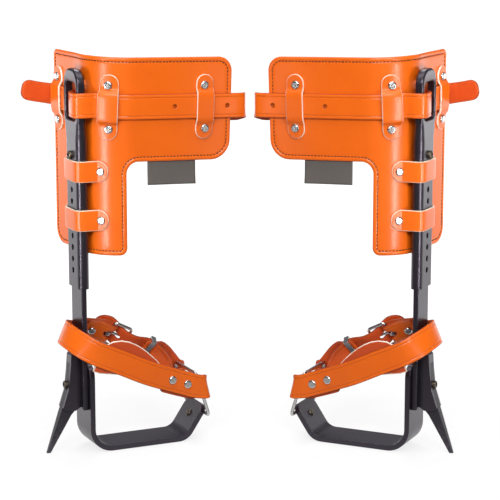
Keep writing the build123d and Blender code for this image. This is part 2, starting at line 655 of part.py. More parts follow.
def instep_strap():
    leg = RING_SPAN / 2
    gap = RING_RADIUS + PIN_PLAY + STRAP_THICK / 2
    low = POCKET_LEVEL - POCKET_TAIL_DROP - 0.5
    inner = leg - gap
    outer = leg + gap
    end = POCKET_END + CLEAR
    lean = FOOT_BUCKLE.y_dir * -1
    half = (STRAP_THICK + CLEAR) / 2
    under = [(SLIDE_RUN - 7, 0, -half), (SLIDE_RUN, 0, -half), (SLIDE_RUN + 6, 0.3, -half)]
    short = on_buckle(FOOT_BUCKLE, under)
    arch = on_buckle(
        FOOT_BUCKLE,
        [
            (SLIDE_RUN + 6, 0.3, half),
            (SLIDE_RUN, 0, half),
            (SLIDE_RUN - 8, 0, half - 1.0),
            (32.0, 0, -3.7),
            (BUCKLE_LENGTH, 0, -3.9),
            (14.0, 0, -1.0),
            (7.0, -0.4, 4.6),
            (0, -1.4, 7.8),
            (-8.0, -3.0, 8.8),
            (-17.0, -5.6, 10.4),
        ],
    )
    route = [(place, lean, STRAP_WIDTH) for place in short]
    route += [
        ((99.0, 22.3, 88.0), Vector(0.52, -0.35, 0.78), STRAP_WIDTH),
        ((105.0, 22.6, 78.0), Vector(0.6, -0.15, 0.78), STRAP_WIDTH),
        ((112.0, leg - 8.4, 67.6), Vector(0.45, 0, 0.9), STRAP_WIDTH),
        ((119.0, leg - 6.0, 61.0), Vector(0.2, 0, 1), STRAP_WIDTH),
        ((125.0, inner, low), UP, STRAP_WIDTH),
        ((end, inner, low), UP, STRAP_WIDTH),
    ]
    fold = [
        (end + gap * 0.71, leg - gap * 0.71, low + 1.7),
        (end + gap, leg, low + 3.3),
        (end + gap * 0.71, leg + gap * 0.71, low + 5.0),
    ]
    route += along_route(fold, Vector(-tan(radians(POCKET_LEAN)), 0, 1))
    route += [
        ((end, outer, POCKET_LEVEL), UP, STRAP_WIDTH),
        ((125.0, outer, 69.5), Vector(0.25, 0, 1), STRAP_WIDTH),
        ((117.0, outer - 0.6, 79.0), Vector(0.6, -0.1, 0.8), STRAP_WIDTH),
        ((108.5, outer - 3.6, 89.0), Vector(0.58, -0.3, 0.74), STRAP_WIDTH),
        ((101.0, outer - 6.3, 95.5), Vector(0.48, -0.45, 0.74), STRAP_WIDTH),
    ]
    route += [(place, lean, STRAP_WIDTH) for place in arch]
    return ribbon(route, STRAP_THICK, round_end=True) - buckle_cuts(FOOT_BUCKLE)


def strap_slide():
    wide = STRAP_WIDTH + 4 * CLEAR
    high = 2 * STRAP_THICK + 3 * CLEAR + SEAT
    band = Box(SLIDE_LENGTH, wide + 2 * SLIDE_WALL, high + 2 * SLIDE_WALL) - Box(2 * SLIDE_LENGTH, wide, high)
    return FOOT_BUCKLE * Pos(SLIDE_RUN, 0, 0) * band


# Calf pad, its keepers and rivets


def pad_wall(outer, inner):
    """The pad's bent wall between two distances in from its outer face, taller than the pad."""
    tall = 2 * PAD_TOP
    thick = inner - outer
    flare = radians(PAD_FLARE)
    edges = []
    for depth in (outer, inner):
        bend = Vector(PAD_FACE + depth, PAD_FLARE_START + depth * tan(flare / 2))
        end = bend + Vector(-sin(flare), cos(flare)) * PAD_REAR
        edges.append([(PAD_FACE + depth, PAD_BEND_START), (bend.X, bend.Y), (end.X, end.Y)])
    rear = prism(Plane.XY, edges[0] + edges[1][::-1], tall, both=True)
    reach = PAD_LENGTH + 20
    side = Pos(BEND_CENTRE.X + reach / 2, PAD_SIDE_FACE + (outer + inner) / 2, 0) * Box(reach, thick, tall)
    turn = Cylinder(PAD_BEND - outer, tall) - Cylinder(PAD_BEND - inner, 2 * tall)
    quarter = Pos(-PAD_BEND, -PAD_BEND, 0) * Box(2 * PAD_BEND, 2 * PAD_BEND, tall)
    return rear + side + Pos(BEND_CENTRE) * (turn & quarter)


def pad_outline():
    """The pad's outline: the side panel hangs along its droop and the tail hangs below the bend."""
    sink = radians(PAD_DROOP)
    onward = Vector(cos(sink), -sin(sink))
    downward = Vector(-sin(sink), -cos(sink))
    top = Vector(PAD_FACE, PAD_TOP)
    end_top = top + onward * PAD_LENGTH
    end_foot = end_top + downward * PAD_SIDE_DROP
    notch = end_foot - onward * ((end_foot.X - PAD_TAIL_REACH) / onward.X)
    back = -PAD_BEND
    points = [(back, PAD_TOP), top, end_top, end_foot, notch, (PAD_TAIL_REACH, PAD_FOOT), (back, PAD_FOOT)]
    points = [(p[0], p[1]) if isinstance(p, tuple) else (p.X, p.Y) for p in points]
    face = make_face(Polyline(*points, close=True))
    face = rounded(
        face,
        [
            (points[2], PAD_SIDE_CORNER),
            (points[3], PAD_SIDE_CORNER),
            (points[4], PAD_NOTCH_CORNER),
            (points[5], PAD_TAIL_CORNER),
        ],
    )
    side = extrude(Plane.XZ * face, 2 * PAD_REAR, both=True)
    corners = [(-PAD_REAR, PAD_FOOT), (PAD_REAR, PAD_FOOT), (PAD_REAR, PAD_TOP), (-PAD_REAR, PAD_TOP)]
    rear = rounded(
        make_face(Polyline(*corners, close=True)),
        [(corners[1], PAD_REAR_FOOT_CORNER), (corners[2], PAD_REAR_TOP_CORNER)],
    )
    return side & extrude(Plane.YZ * rear, 3 * PAD_LENGTH, both=True)


def keeper_rivet_planes():
    """Where the rivets go: on each strap keeper, above and below the strap, and on both shank keeper tabs."""
    planes = []
    for run in (REAR_KEEPER_AT, MIDDLE_KEEPER_AT, FRONT_KEEPER_AT):
        for rise in (0.5, -0.5):
            planes.append(pad_plane(run, keeper_level(run) + rise * KEEPER_RIVET_SPACING))
    for level in (UPPER_SHANK_KEEPER, LOWER_SHANK_KEEPER):
        planes.append(pad_plane(radians(SHANK_KEEPER_RIVET) * PAD_BEND, level))
        planes.append(pad_plane(PAD_BEND_START - SHANK_KEEPER_REAR_RIVET, level))
    return planes


def keeper_level(run):
    return STRAP_LEVEL - droop(run) - 0.7


def pad_holes(diameter=RIVET_SHANK + HOLE_PLAY):
    holes = [drill(plane, 2 * PAD_THICK, diameter) for plane in keeper_rivet_planes()]
    return holes[0].fuse(*holes[1:])


def pad_rivets():
    group = []
    for plane in keeper_rivet_planes():
        lift = 3 * SEAT + KEEPER_THICK
        group.append(rivet(plane.offset(lift), lift + PAD_LEATHER + CLEAR))
    return Compound(children=group)


def calf_pad():
    return (pad_wall(0, PAD_LEATHER) & pad_outline()) - pad_holes()


def pad_lining():
    """Felt behind the leather, open round the rivets' inner caps and the tag's sewn-in edge."""
    lining = (pad_wall(PAD_LEATHER, PAD_THICK) & pad_outline()) - pad_holes(RIVET_CAP + 2 * CLEAR)
    return lining - label_tag(SEAT)


def strap_keeper(run, room):
    """A leather loop on the pad's face: two riveted ends and a raised middle the strap runs under."""
    half = KEEPER_HEIGHT / 2
    shoulder = STRAP_WIDTH / 2 + 1.5
    foot = KEEPER_RIVET_SPACING / 2 - RIVET_CAP / 2 - 0.4
    thick = KEEPER_THICK
    profile = [
        (SEAT, half),
        (SEAT, foot - thick * 0.7),
        (room, shoulder),
        (room, -shoulder),
        (SEAT, -foot + thick * 0.7),
        (SEAT, -half),
        (SEAT + thick, -half),
        (SEAT + thick, -foot),
        (room + thick, -shoulder - thick * 0.6),
        (room + thick, shoulder + thick * 0.6),
        (SEAT + thick, foot),
        (SEAT + thick, half),
    ]
    plane = pad_plane(run, keeper_level(run))
    face = make_face(Polyline(*profile, close=True))
    face = rounded(face, [(profile[2], 1.5), (profile[3], 1.5), (profile[8], 3.0), (profile[9], 3.0)])
    section = Plane(plane.origin, x_dir=plane.z_dir, z_dir=plane.x_dir * -1)
    if 0 < run < BEND_RUN:
        swing = degrees(KEEPER_WIDTH / PAD_BEND)
        axis = Axis((BEND_CENTRE.X, BEND_CENTRE.Y, 0), (0, 0, 1))
        loop = revolve(section * face, axis, swing).rotate(axis, -swing / 2)
    else:
        loop = extrude(section * face, KEEPER_WIDTH / 2, both=True)
    tilt = PAD_DROOP if run > BEND_RUN else 0
    blank = extrude(RectangleRounded(KEEPER_WIDTH, KEEPER_HEIGHT, KEEPER_END), 4 * PAD_LEATHER, both=True)
    loop = (loop & plane * blank).rotate(Axis(plane.origin, plane.z_dir), -tilt)
    holes = [drill(p, 2 * PAD_THICK, RIVET_SHANK + HOLE_PLAY) for p in keeper_rivet_planes()]
    return loop - holes[0].fuse(*holes[1:])


def shank_keeper(level):
    """A leather band round the tube, its two ends riveted to the pad."""
    off = CLEAR + KEEPER_THICK / 2
    seat = 2 * SEAT + KEEPER_THICK / 2
    side = TUBE_THICK / 2 + off
    edge = TUBE_WIDTH / 2 + off
    centre = (TUBE_WIDTH - TUBE_THICK) / 2
    slant = side * 0.707
    tab = []
    for back, lift in ((0, 0), (6, 0), (11, 0), (13.7, 0.05), (15.7, 0.5)):
        place = pad_plane(radians(SHANK_KEEPER_TAB_END - back) * PAD_BEND, level).offset(seat + lift).origin
        tab.append((place.X, place.Y))
    places = tab + [
        (12.0, -edge - 0.8),
        (8.0, -edge - 0.45),
        (4.0, -edge - 0.3),
        (0, -edge - 0.1),
        (-side * 0.383, -centre - side * 0.924),
        (-slant, -centre - slant),
        (-side, -centre),
        (-side, 0),
        (-side, centre),
        (-slant, centre + slant),
        (-side * 0.383, centre + side * 0.924),
        (0.6, edge + 0.3),
        (3.6, edge + 3.6),
        (rear_face(edge + 8.0) - seat - 0.3, edge + 8.0),
    ]
    for y in (edge + 12.0, *(SHANK_KEEPER_REACH - back for back in (9.0, 5.0, 2.0, 0.0))):
        places.append((rear_face(y) - seat, y))
    route = along_route([(x, y, level) for x, y in places], breadth=SHANK_KEEPER_HEIGHT)
    return ribbon(route, KEEPER_THICK, round_start=True, round_end=True) - pad_holes() - pad_rivets()


def label_tag(room=0.0):
    """The plain tag sewn in between leather and lining at the side panel's lower edge."""
    sink = radians(PAD_DROOP)
    centre = Vector(LABEL_START + LABEL_WIDTH / 2, PAD_SIDE_FACE + PAD_LEATHER + SEAT + LABEL_THICK / 2, 0)
    fall = PAD_SIDE_DROP * (cos(sink) + sin(sink) ** 2)
    lower_edge = PAD_TOP - fall - (centre.X - PAD_FACE) * tan(sink)
    tag = Box(LABEL_WIDTH + 2 * room, LABEL_THICK + 2 * room, LABEL_DROP + LABEL_TUCK + 2 * room)
    return Pos(centre.X, centre.Y, lower_edge + (LABEL_TUCK - LABEL_DROP) / 2) * Rot(0, PAD_DROOP, 0) * tag


# Calf strap


def calf_strap_route():
    side = PAD_SIDE_FACE - STRAP_LIFT
    rear = PAD_FACE - STRAP_LIFT
    rear_end = REAR_END_FACE - STRAP_LIFT
    front = LOOP_PLACE - LOOP_THICK / 2 - STRAP_LIFT
    half_loop = LOOP_WIDTH / 2
    rim = half_loop - LOOP_RIM
    turn = Vector(*CALF_TURN)
    loop = CALF_LOOP_RADIUS
    loop_x = CALF_LOOP_END - loop
    fold = on_buckle(CALF_BUCKLE, [*buckle_fold(0, 0)[::-1], (-40.0, 0, 1.65), (-56.0, 0, 1.6)])
    level = STRAP_LEVEL
    end_level = level - droop(BEND_RUN + CALF_LOOP_END - BEND_CENTRE.X)
    wrap = [
        (turn.X + 1.0, turn.Y + 0.5, CALF_TURN_LEVEL),
        (rear_end + 4.4, PAD_REAR + 8.2, level + 0.4),
        (rear_end + 0.7, PAD_REAR + 4.5, level + 0.2),
        (rear_face(PAD_REAR - 1.0) - STRAP_LIFT, PAD_REAR - 1.0, level),
        (rear_face(PAD_REAR - 5.0) - STRAP_LIFT, PAD_REAR - 5.0, level),
        (rear_face(PAD_REAR - 28.0) - STRAP_LIFT, PAD_REAR - 28.0, level),
        (rear, rim + 6.5, level),
        (rear, rim + 3.1, level),
        (rear - 0.25, rim + 0.5, level),
        (LOOP_PLACE + 3.2, rim - 5.5, level),
        (LOOP_PLACE - 1.8, rim - 12.0, level),
        (front + 0.9, rim - 18.5, level),
        (front, 13.0 - half_loop, level),
        (front, 3.2 - half_loop, level),
        (front + 1.2, -half_loop - 0.5, level),
        (front + 4.8, -half_loop - 2.4, level),
        (0.3, -half_loop - 2.8, level),
        (5.0, -24.2, level),
        (10.0, -23.7, level),
        (15.2, -24.7, level - 0.8),
        (20.3, -28.3, level - 1.1),
        (26.2, -32.7, level - 1.4),
        (34.5, -36.9, level - 1.8),
        (43.6, side + 0.6, level - 2.1),
        (BEND_CENTRE.X, side, level - droop(BEND_RUN)),
        (80.0, side, level - droop(BEND_RUN + 80.0 - BEND_CENTRE.X)),
        (loop_x - 20, side, level - droop(BEND_RUN + loop_x - 20 - BEND_CENTRE.X)),
        (loop_x, side, level - droop(BEND_RUN + loop_x - BEND_CENTRE.X)),
        (loop_x + 0.71 * loop, side + 0.29 * loop, end_level - 0.3),
        (CALF_LOOP_END, side + loop, end_level - 1.5),
        (loop_x + 0.71 * loop, side + 1.71 * loop, CALF_RETURN_LEVEL + 1.0),
        (loop_x - 2.0, side + 2.05 * loop, CALF_RETURN_LEVEL),
    ]
    back = on_buckle(
        CALF_BUCKLE,
        [
            (90.0, 0, -1.5),
            (45.0, 0, -3.9),
            (30.0, 0, -3.9),
            (BUCKLE_LENGTH, 0, -3.9),
            (14.0, 0, -1.0),
            (7.0, 0, 4.6),
            (0, 0, 7.8),
            (-8.0, 0, 8.0),
            (-16.0, 0, 7.8),
            (-24.0, 0, 7.3),
            (-34.0, 0, 5.4),
            (-50.0, 0, 5.0),
        ],
    )
    tail = [
        (turn.X + 10.5, turn.Y - 0.4, CALF_TURN_LEVEL),
        (turn.X - 2.0, turn.Y + 7.0, CALF_TURN_LEVEL + 1.0),
        (turn.X - 14.0, turn.Y + 7.0, CALF_TURN_LEVEL + 2.5),
        (turn.X - 28.0, turn.Y + 3.0, CALF_TURN_LEVEL + 4.5),
        (turn.X - 46.0, turn.Y - 3.0, CALF_TAIL_LEVEL),
    ]
    lean = CALF_BUCKLE.y_dir * -1
    return along_route(fold, lean) + along_route(wrap) + along_route(back, lean) + along_route(tail)


def calf_strap():
    strap = ribbon(calf_strap_route(), STRAP_THICK, steps=3, round_end=True)
    strap = strap - buckle_cuts(CALF_BUCKLE) - calf_strap_rivet(HOLE_PLAY)
    for i in range(3):
        x = FIRST_STRAP_HOLE + i * STRAP_HOLE_PITCH
        level = STRAP_LEVEL - droop(BEND_RUN + x - BEND_CENTRE.X)
        hole = Plane((x, PAD_SIDE_FACE - STRAP_LIFT, level), x_dir=(1, 0, 0), z_dir=(0, -1, 0))
        strap -= drill(hole, STRAP_THICK, STRAP_HOLE)
    return strap


def calf_strap_rivet(room=0.0):
    return fold_rivet(CALF_BUCKLE, 0, room)


SPIKE = {
    "shank_bar": shank_bar(),
    "stirrup": stirrup(),
    "gaff": gaff(),
    "gaff_gusset": gaff_gusset(),
    "gaff_screw": gaff_screw(),
    "ring_clip": ring_clip(),
    "clip_rivet": clip_rivet(),
    "strap_ring": strap_ring(),
    "heel_strap": heel_strap(),
    "heel_strap_rivets": heel_strap_rivets(),
    "heel_pad": heel_pad(),
    "instep_strap": instep_strap(),
    "strap_slide": strap_slide(),
    "foot_buckle": buckle_frame(FOOT_BUCKLE),
    "foot_prong": buckle_prong(FOOT_BUCKLE),
    "leg_tube": leg_tube(),
    "height_screw": height_screw(),
    "calf_pad": calf_pad(),
    "pad_lining": pad_lining(),
    "upper_shank_keeper": shank_keeper(UPPER_SHANK_KEEPER),
    "lower_shank_keeper": shank_keeper(LOWER_SHANK_KEEPER),
    "rear_strap_keeper": strap_keeper(REAR_KEEPER_AT, 2 * CLEAR + STRAP_THICK + SEAT),
    "middle_strap_keeper": strap_keeper(MIDDLE_KEEPER_AT, 2 * CLEAR + STRAP_THICK + 1.8),
    "front_strap_keeper": strap_keeper(FRONT_KEEPER_AT, 2 * CLEAR + STRAP_THICK + SEAT),
    "pad_rivets": pad_rivets(),
    "calf_strap": calf_strap(),
    "calf_strap_rivet": calf_strap_rivet(),
    "calf_buckle": buckle_frame(CALF_BUCKLE),
    "calf_prong": buckle_prong(CALF_BUCKLE),
    "pad_label": label_tag(),
}

# The left spike is turned and set to the left, the pair's box is centred front to back,
# and the right spike is its mirror image.
turned = {name: Pos(-SHANK_SPACING / 2, 0, 0) * Rot(0, 0, SPIKE_YAW) * piece for name, piece in SPIKE.items()}
boxes = [piece.bounding_box() for piece in turned.values()]
back_shift = -(min(b.min.Y for b in boxes) + max(b.max.Y for b in boxes)) / 2
print("pair shifted in Y by", back_shift)
os.makedirs("parts", exist_ok=True)
for name, piece in turned.items():
    left = Pos(0, back_shift, 0) * piece
    export_step(left, f"parts/left_{name}.step")
    export_step(mirror(left, about=Plane.YZ), f"parts/right_{name}.step")
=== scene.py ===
from math import acos, atan2, cos, pi, radians, sin, tan

import bpy
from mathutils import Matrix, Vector
from mathutils.geometry import delaunay_2d_cdt


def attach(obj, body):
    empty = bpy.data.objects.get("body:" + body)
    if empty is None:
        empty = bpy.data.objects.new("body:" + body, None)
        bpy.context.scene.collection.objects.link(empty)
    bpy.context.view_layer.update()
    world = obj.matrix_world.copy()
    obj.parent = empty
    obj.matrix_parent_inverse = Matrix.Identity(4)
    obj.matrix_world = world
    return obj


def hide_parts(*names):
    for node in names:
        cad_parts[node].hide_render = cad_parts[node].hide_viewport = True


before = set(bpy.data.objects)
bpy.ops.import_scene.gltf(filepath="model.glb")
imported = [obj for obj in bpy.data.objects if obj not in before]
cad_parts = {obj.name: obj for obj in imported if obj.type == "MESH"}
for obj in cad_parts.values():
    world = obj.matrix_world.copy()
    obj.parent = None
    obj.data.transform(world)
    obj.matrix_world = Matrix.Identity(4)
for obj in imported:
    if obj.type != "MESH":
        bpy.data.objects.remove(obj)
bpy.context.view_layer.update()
scene = bpy.context.scene
scene.view_settings.view_transform = "Standard"

# The studio: a white sheet on the floor, a room that is dark towards the camera, and eight soft lamps
# that light both spikes alike. The camera stands a little above the pair and looks straight at the gap
# between them.


def link(tree, value, socket):
    """Puts a value, or a wrapped socket's line, into a socket."""
    if isinstance(value, Tone):
        tree.links.new(value.socket, socket)
    elif hasattr(value, "__len__") and len(value) < len(socket.default_value) == 4:
        socket.default_value = (*value, 1.0)
    else:
        socket.default_value = value


def maths(operation, *values):
    """One Math node on values of which at least one is a wrapped socket."""
    tree = next(v for v in values if isinstance(v, Tone)).socket.id_data
    node = tree.nodes.new("ShaderNodeMath")
    node.operation = operation
    for value, socket in zip(values, node.inputs):
        link(tree, value, socket)
    return Tone(node.outputs[0])


class Tone:
    """A value that varies over a surface."""

    def __init__(self, socket):
        self.socket = socket

    def __add__(self, other):
        return maths("ADD", self, other)

    def __radd__(self, other):
        return maths("ADD", other, self)

    def __sub__(self, other):
        return maths("SUBTRACT", self, other)

    def __rsub__(self, other):
        return maths("SUBTRACT", other, self)

    def __mul__(self, other):
        return maths("MULTIPLY", self, other)

    def __rmul__(self, other):
        return maths("MULTIPLY", other, self)

    def __truediv__(self, other):
        return maths("DIVIDE", self, other)

    def __gt__(self, other):
        return maths("GREATER_THAN", self, other)

    def clamped(self):
        return maths("MINIMUM", maths("MAXIMUM", self, 0.0), 1.0)


class Finish:
    """A surface finish: one material with its shader and the nodes that feed it."""

    def __init__(self, name, tree=None, shader="ShaderNodeBsdfPrincipled"):
        if tree is None:
            self.material = bpy.data.materials.new(name)
            self.material.use_nodes = True
            tree = self.material.node_tree
        self.tree = tree
        tree.nodes.clear()
        world = shader == "ShaderNodeBackground"
        out = tree.nodes.new("ShaderNodeOutputWorld" if world else "ShaderNodeOutputMaterial")
        self.shader = tree.nodes.new(shader)
        tree.links.new(self.shader.outputs[0], out.inputs["Surface"])

    def add(self, kind, settings, sockets, out=0):
        """A node of a kind, its settings first, then its sockets; gives one of its outputs."""
        node = self.tree.nodes.new(kind)
        for name, value in settings.items():
            setattr(node, name, value)
        for name, value in sockets.items():
            link(self.tree, value, node.inputs[name])
        return Tone(node.outputs[out])

    def mix(self, share, first, second):
        """A colour between two others."""
        return self.add("ShaderNodeMix", {"data_type": "RGBA"}, {0: share, 6: first, 7: second}, 2)

    def noise(self, scale, detail=2.0, place=None, roughness=0.5):
        """A cloudy value between nought and one; the scale is in clouds to the metre."""
        place = place or self.add("ShaderNodeTexCoord", {}, {}, "Object")
        sockets = {"Vector": place, "Scale": scale, "Detail": detail, "Roughness": roughness}
        return self.add("ShaderNodeTexNoise", {}, sockets, "Fac")

    def mark(self, name):
        """A value kept on the mesh's points."""
        return self.add("ShaderNodeAttribute", {"attribute_name": name}, {}, "Fac")

    def bump(self, height, distance, strength=1.0):
        """A normal tipped by a height."""
        sockets = {"Height": height, "Distance": distance, "Strength": strength}
        return self.add("ShaderNodeBump", {}, sockets, "Normal")

    def set(self, **sockets):
        """Values and lines for the shader's own sockets, their names in lower case."""
        for socket in self.shader.inputs:
            name = socket.name.lower().replace(" ", "_")
            if name in sockets:
                link(self.tree, sockets.pop(name), socket)
        assert not sockets, sockets
        return self


camera_data = bpy.data.cameras.new("studio_camera")
camera_data.lens = 144.9
camera_data.sensor_width = 36.0
camera = bpy.data.objects.new("studio_camera", camera_data)
scene.collection.objects.link(camera)
camera.location = (0.0, -2.1797, 0.660)
camera.rotation_mode = "QUATERNION"
camera.rotation_quaternion = (Vector((0.0, -0.0297, 0.225)) - camera.location).to_track_quat("-Z", "Y")
scene.camera = camera

FLOOR_LEVEL = -0.0005
floor_mesh = bpy.data.meshes.new("studio_floor")
floor_corners = [(x, y, FLOOR_LEVEL) for x, y in ((-9, -5), (9, -5), (9, 13), (-9, 13))]
floor_mesh.from_pydata(floor_corners, [], [(0, 1, 2, 3)])
floor = bpy.data.objects.new("studio_floor", floor_mesh)
scene.collection.objects.link(floor)
paper = Finish("white_paper")
seen = paper.add("ShaderNodeLightPath", {}, {}, "Is Camera Ray")
mirrored = paper.add("ShaderNodeLightPath", {}, {}, "Is Glossy Ray")
fibre = paper.noise(60.0, 4.0)
spot = paper.add("ShaderNodeTexCoord", {}, {}, "Object")
away = paper.add("ShaderNodeVectorMath", {"operation": "LENGTH"}, {0: spot}, "Value")
deep = paper.add("ShaderNodeSeparateXYZ", {}, {"Vector": spot}, "Y")
# To the camera the sheet shows white, a little less near the pair so that their real shadow shows. Painted
# reflection: in reflections only, the sheet glows white behind the pair, which lays a sheen on their
# back-facing sides.
lit = paper.mix(((away - 0.3) * 1.6).clamped(), (0.78, 0.78, 0.78), (1.0, 1.0, 1.0))
painted_back_reflection = paper.mix((deep * 2.5 + 0.7).clamped() * mirrored, (0.0, 0.0, 0.0), (1.0, 1.0, 1.0))
paper.set(
    base_color=paper.mix(fibre, (0.19, 0.19, 0.19), (0.21, 0.21, 0.21)),
    roughness=0.9,
    specular_ior_level=0.1,
    emission_color=paper.mix(seen, painted_back_reflection, lit),
    emission_strength=1.0,
)
floor_mesh.materials.append(paper.material)

scene.world = bpy.data.worlds.new("studio_room")
scene.world.use_nodes = True
room = Finish("studio_room", scene.world.node_tree, "ShaderNodeBackground")
bearing = room.add("ShaderNodeTexCoord", {}, {}, "Generated")
forward = room.add("ShaderNodeSeparateXYZ", {}, {"Vector": bearing}, "Y")
direct = room.add("ShaderNodeLightPath", {}, {}, "Is Camera Ray")
walls = room.mix((forward * 0.8 + 0.4).clamped(), (0.06, 0.06, 0.065), (0.22, 0.22, 0.235))
room.set(color=room.mix(direct, walls, (1.0, 1.0, 1.0)), strength=1.0)

for name, place, aim, size, spread, watts in (
    ("left_strip", (-0.65, -0.665, 0.2), (-0.325, 0.066, 0.345), (0.13, 0.36), 44, 0.56),
    ("right_strip", (0.65, -0.665, 0.2), (0.325, 0.066, 0.345), (0.13, 0.36), 44, 0.56),
    ("left_softbox", (-0.7, -2.3, 1.6), (-0.18, 0.0, 0.25), (1.0, 0.7), 180, 33.5),
    ("right_softbox", (0.7, -2.3, 1.6), (0.18, 0.0, 0.25), (1.0, 0.7), 180, 33.5),
    ("top_softbox", (0.0, -0.35, 2.1), (0.0, 0.0, 0.25), (2.2, 1.2), 180, 24.0),
    ("back_softbox", (0.0, 1.7, 2.1), (0.0, 0.0, 0.25), (1.6, 0.8), 180, 25.0),
    ("left_back_softbox", (-1.35, 1.45, 0.23), (-0.3, 0.0, 0.23), (1.6, 0.44), 180, 3.2),
    ("right_back_softbox", (1.35, 1.45, 0.23), (0.3, 0.0, 0.23), (1.6, 0.44), 180, 3.2),
):
    lamp = bpy.data.lights.new(name, "AREA")
    lamp.shape = "RECTANGLE"
    lamp.size, lamp.size_y = size
    lamp.spread = radians(spread)
    lamp.energy = watts
    softbox = bpy.data.objects.new(name, lamp)
    softbox.location = place
    softbox.rotation_mode = "QUATERNION"
    softbox.rotation_quaternion = (Vector(aim) - softbox.location).to_track_quat("-Z", "Y")
    scene.collection.objects.link(softbox)

# The irons: flat bar, flat-oval tube, bent stirrup, gaff and gusset in mild steel, welded and riveted,
# then powder coated black as one. The coat is thin and even, rubbed a little at the corners.
black_coat = Finish("black_powder_coat")
corner = black_coat.add("ShaderNodeBevel", {"samples": 6}, {"Radius": 0.0009})
plain = black_coat.add("ShaderNodeNewGeometry", {}, {}, "Normal")
sides = {0: corner, 1: plain}
facing = black_coat.add("ShaderNodeVectorMath", {"operation": "DOT_PRODUCT"}, sides, "Value")
patchy = black_coat.noise(140.0, 4.0)
rubbed = ((1.0 - facing) * 5.0 * (patchy > 0.5)).clamped() * 0.5
orange_peel = black_coat.noise(1300.0, 2.0)
speckle = black_coat.noise(5200.0, 1.0)
coat = black_coat.mix(patchy, (0.0065, 0.0050, 0.0075), (0.011, 0.009, 0.013))
black_coat.set(
    base_color=black_coat.mix(rubbed, coat, (0.04, 0.038, 0.045)),
    roughness=0.24 + 0.08 * patchy + 0.05 * speckle,
    specular_ior_level=0.74,
    specular_tint=(0.94, 0.83, 1.0),
    normal=black_coat.add(
        "ShaderNodeBump",
        {},
        {
            "Height": orange_peel * 0.7 + speckle * 0.3,
            "Distance": 0.00012,
            "Strength": 0.55,
            "Normal": corner,
        },
        "Normal",
    ),
)


def dress(finish, *parts):
    """Gives a finish to the metal pieces of both spikes."""
    for side in ("left", "right"):
        for part in parts:
            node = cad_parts[f"{side}_{part}"]
            node.data.materials.clear()
            node.data.materials.append(finish.material)


dress(black_coat, "shank_bar", "leg_tube", "stirrup", "gaff_gusset", "ring_clip")

# The gaff blade: the same steel, its point left nearly bare where it is filed sharp, so the coat thins to
# worn grey over the last few centimetres.
worn_coat = Finish("gaff_worn_coat")
spot = worn_coat.add("ShaderNodeTexCoord", {}, {}, "Object")
rise = worn_coat.add("ShaderNodeSeparateXYZ", {}, {"Vector": spot}, "Z")
scuff = worn_coat.noise(220.0, 5.0, spot, 0.65)
bared = ((0.042 - rise) * 24.0 + (scuff - 0.62) * 2.4).clamped() * 0.4
worn_coat.set(
    base_color=worn_coat.mix(bared, (0.016, 0.0135, 0.018), (0.17, 0.165, 0.18)),
    roughness=0.40 + 0.14 * scuff,
    metallic=bared * 0.8,
    specular_ior_level=0.5,
    specular_tint=(0.96, 0.90, 1.0),
    normal=worn_coat.bump(scuff, 0.00015, 0.5),
)
dress(worn_coat, "gaff")

# The bright fittings: strap ring, slide, buckles and prongs in bent wire and strip, and the double-cap
# rivets, all steel with a nickel plate that shows fine handling marks.
nickel = Finish("nickel_plate")
smear = nickel.noise(90.0, 4.0)
hairline = nickel.noise(2600.0, 2.0)
nickel.set(
    base_color=nickel.mix(smear, (0.50, 0.49, 0.48), (0.64, 0.63, 0.62)),
    metallic=1.0,
    roughness=0.16 + 0.10 * smear + 0.04 * hairline,
    normal=nickel.add("ShaderNodeBevel", {"samples": 8}, {"Radius": 0.0008}),
)
dress(nickel, "strap_ring", "strap_slide", "foot_buckle", "foot_prong", "calf_buckle", "calf_prong")
dress(nickel, "pad_rivets", "heel_strap_rivets", "calf_strap_rivet")

# The screws and the clip's rivet: button heads, two with a hexagon socket, zinc plated and gone dull and
# brownish. One screw sets the height of the leg tube, one holds the gaff, and the rivet holds the clip
# of the ring.
dull_zinc = Finish("dull_zinc")
stain = dull_zinc.noise(420.0, 4.0)
dull_zinc.set(
    base_color=dull_zinc.mix(stain, (0.085, 0.070, 0.052), (0.19, 0.16, 0.12)),
    metallic=1.0,
    roughness=0.34 + 0.2 * stain,
    normal=dull_zinc.bump(stain, 0.00008, 0.4),
)
dress(dull_zinc, "height_screw", "gaff_screw", "clip_rivet")

# The calf pad: one piece of smooth orange leather bent round the leg, with a turned, padded border outside
# its seam. The side panel droops a little, and the narrow tail hangs down beside the shank.
PAD_FACE = 6.7
PAD_BEND = 45.0
PAD_BEND_START = 7.0
PAD_LEATHER = 2.2
CREASE_INSET = 3.8
HOLE_RING = 1.7
# HOLE_SHADE sets how dark a hole's cut edge is painted: painted shade in the hole.
HOLE_SHADE = 2.0
INNER_RIM = 9.0
GRID_CLEAR = 1.2
SPIKE_TURN = radians(25.0)
SPIKE_OUT = -187.0
SPIKE_BACK = -29.739
FLARE = radians(5.5)
FLARE_RUN = -7.0
FLARE_BEND = 166.7


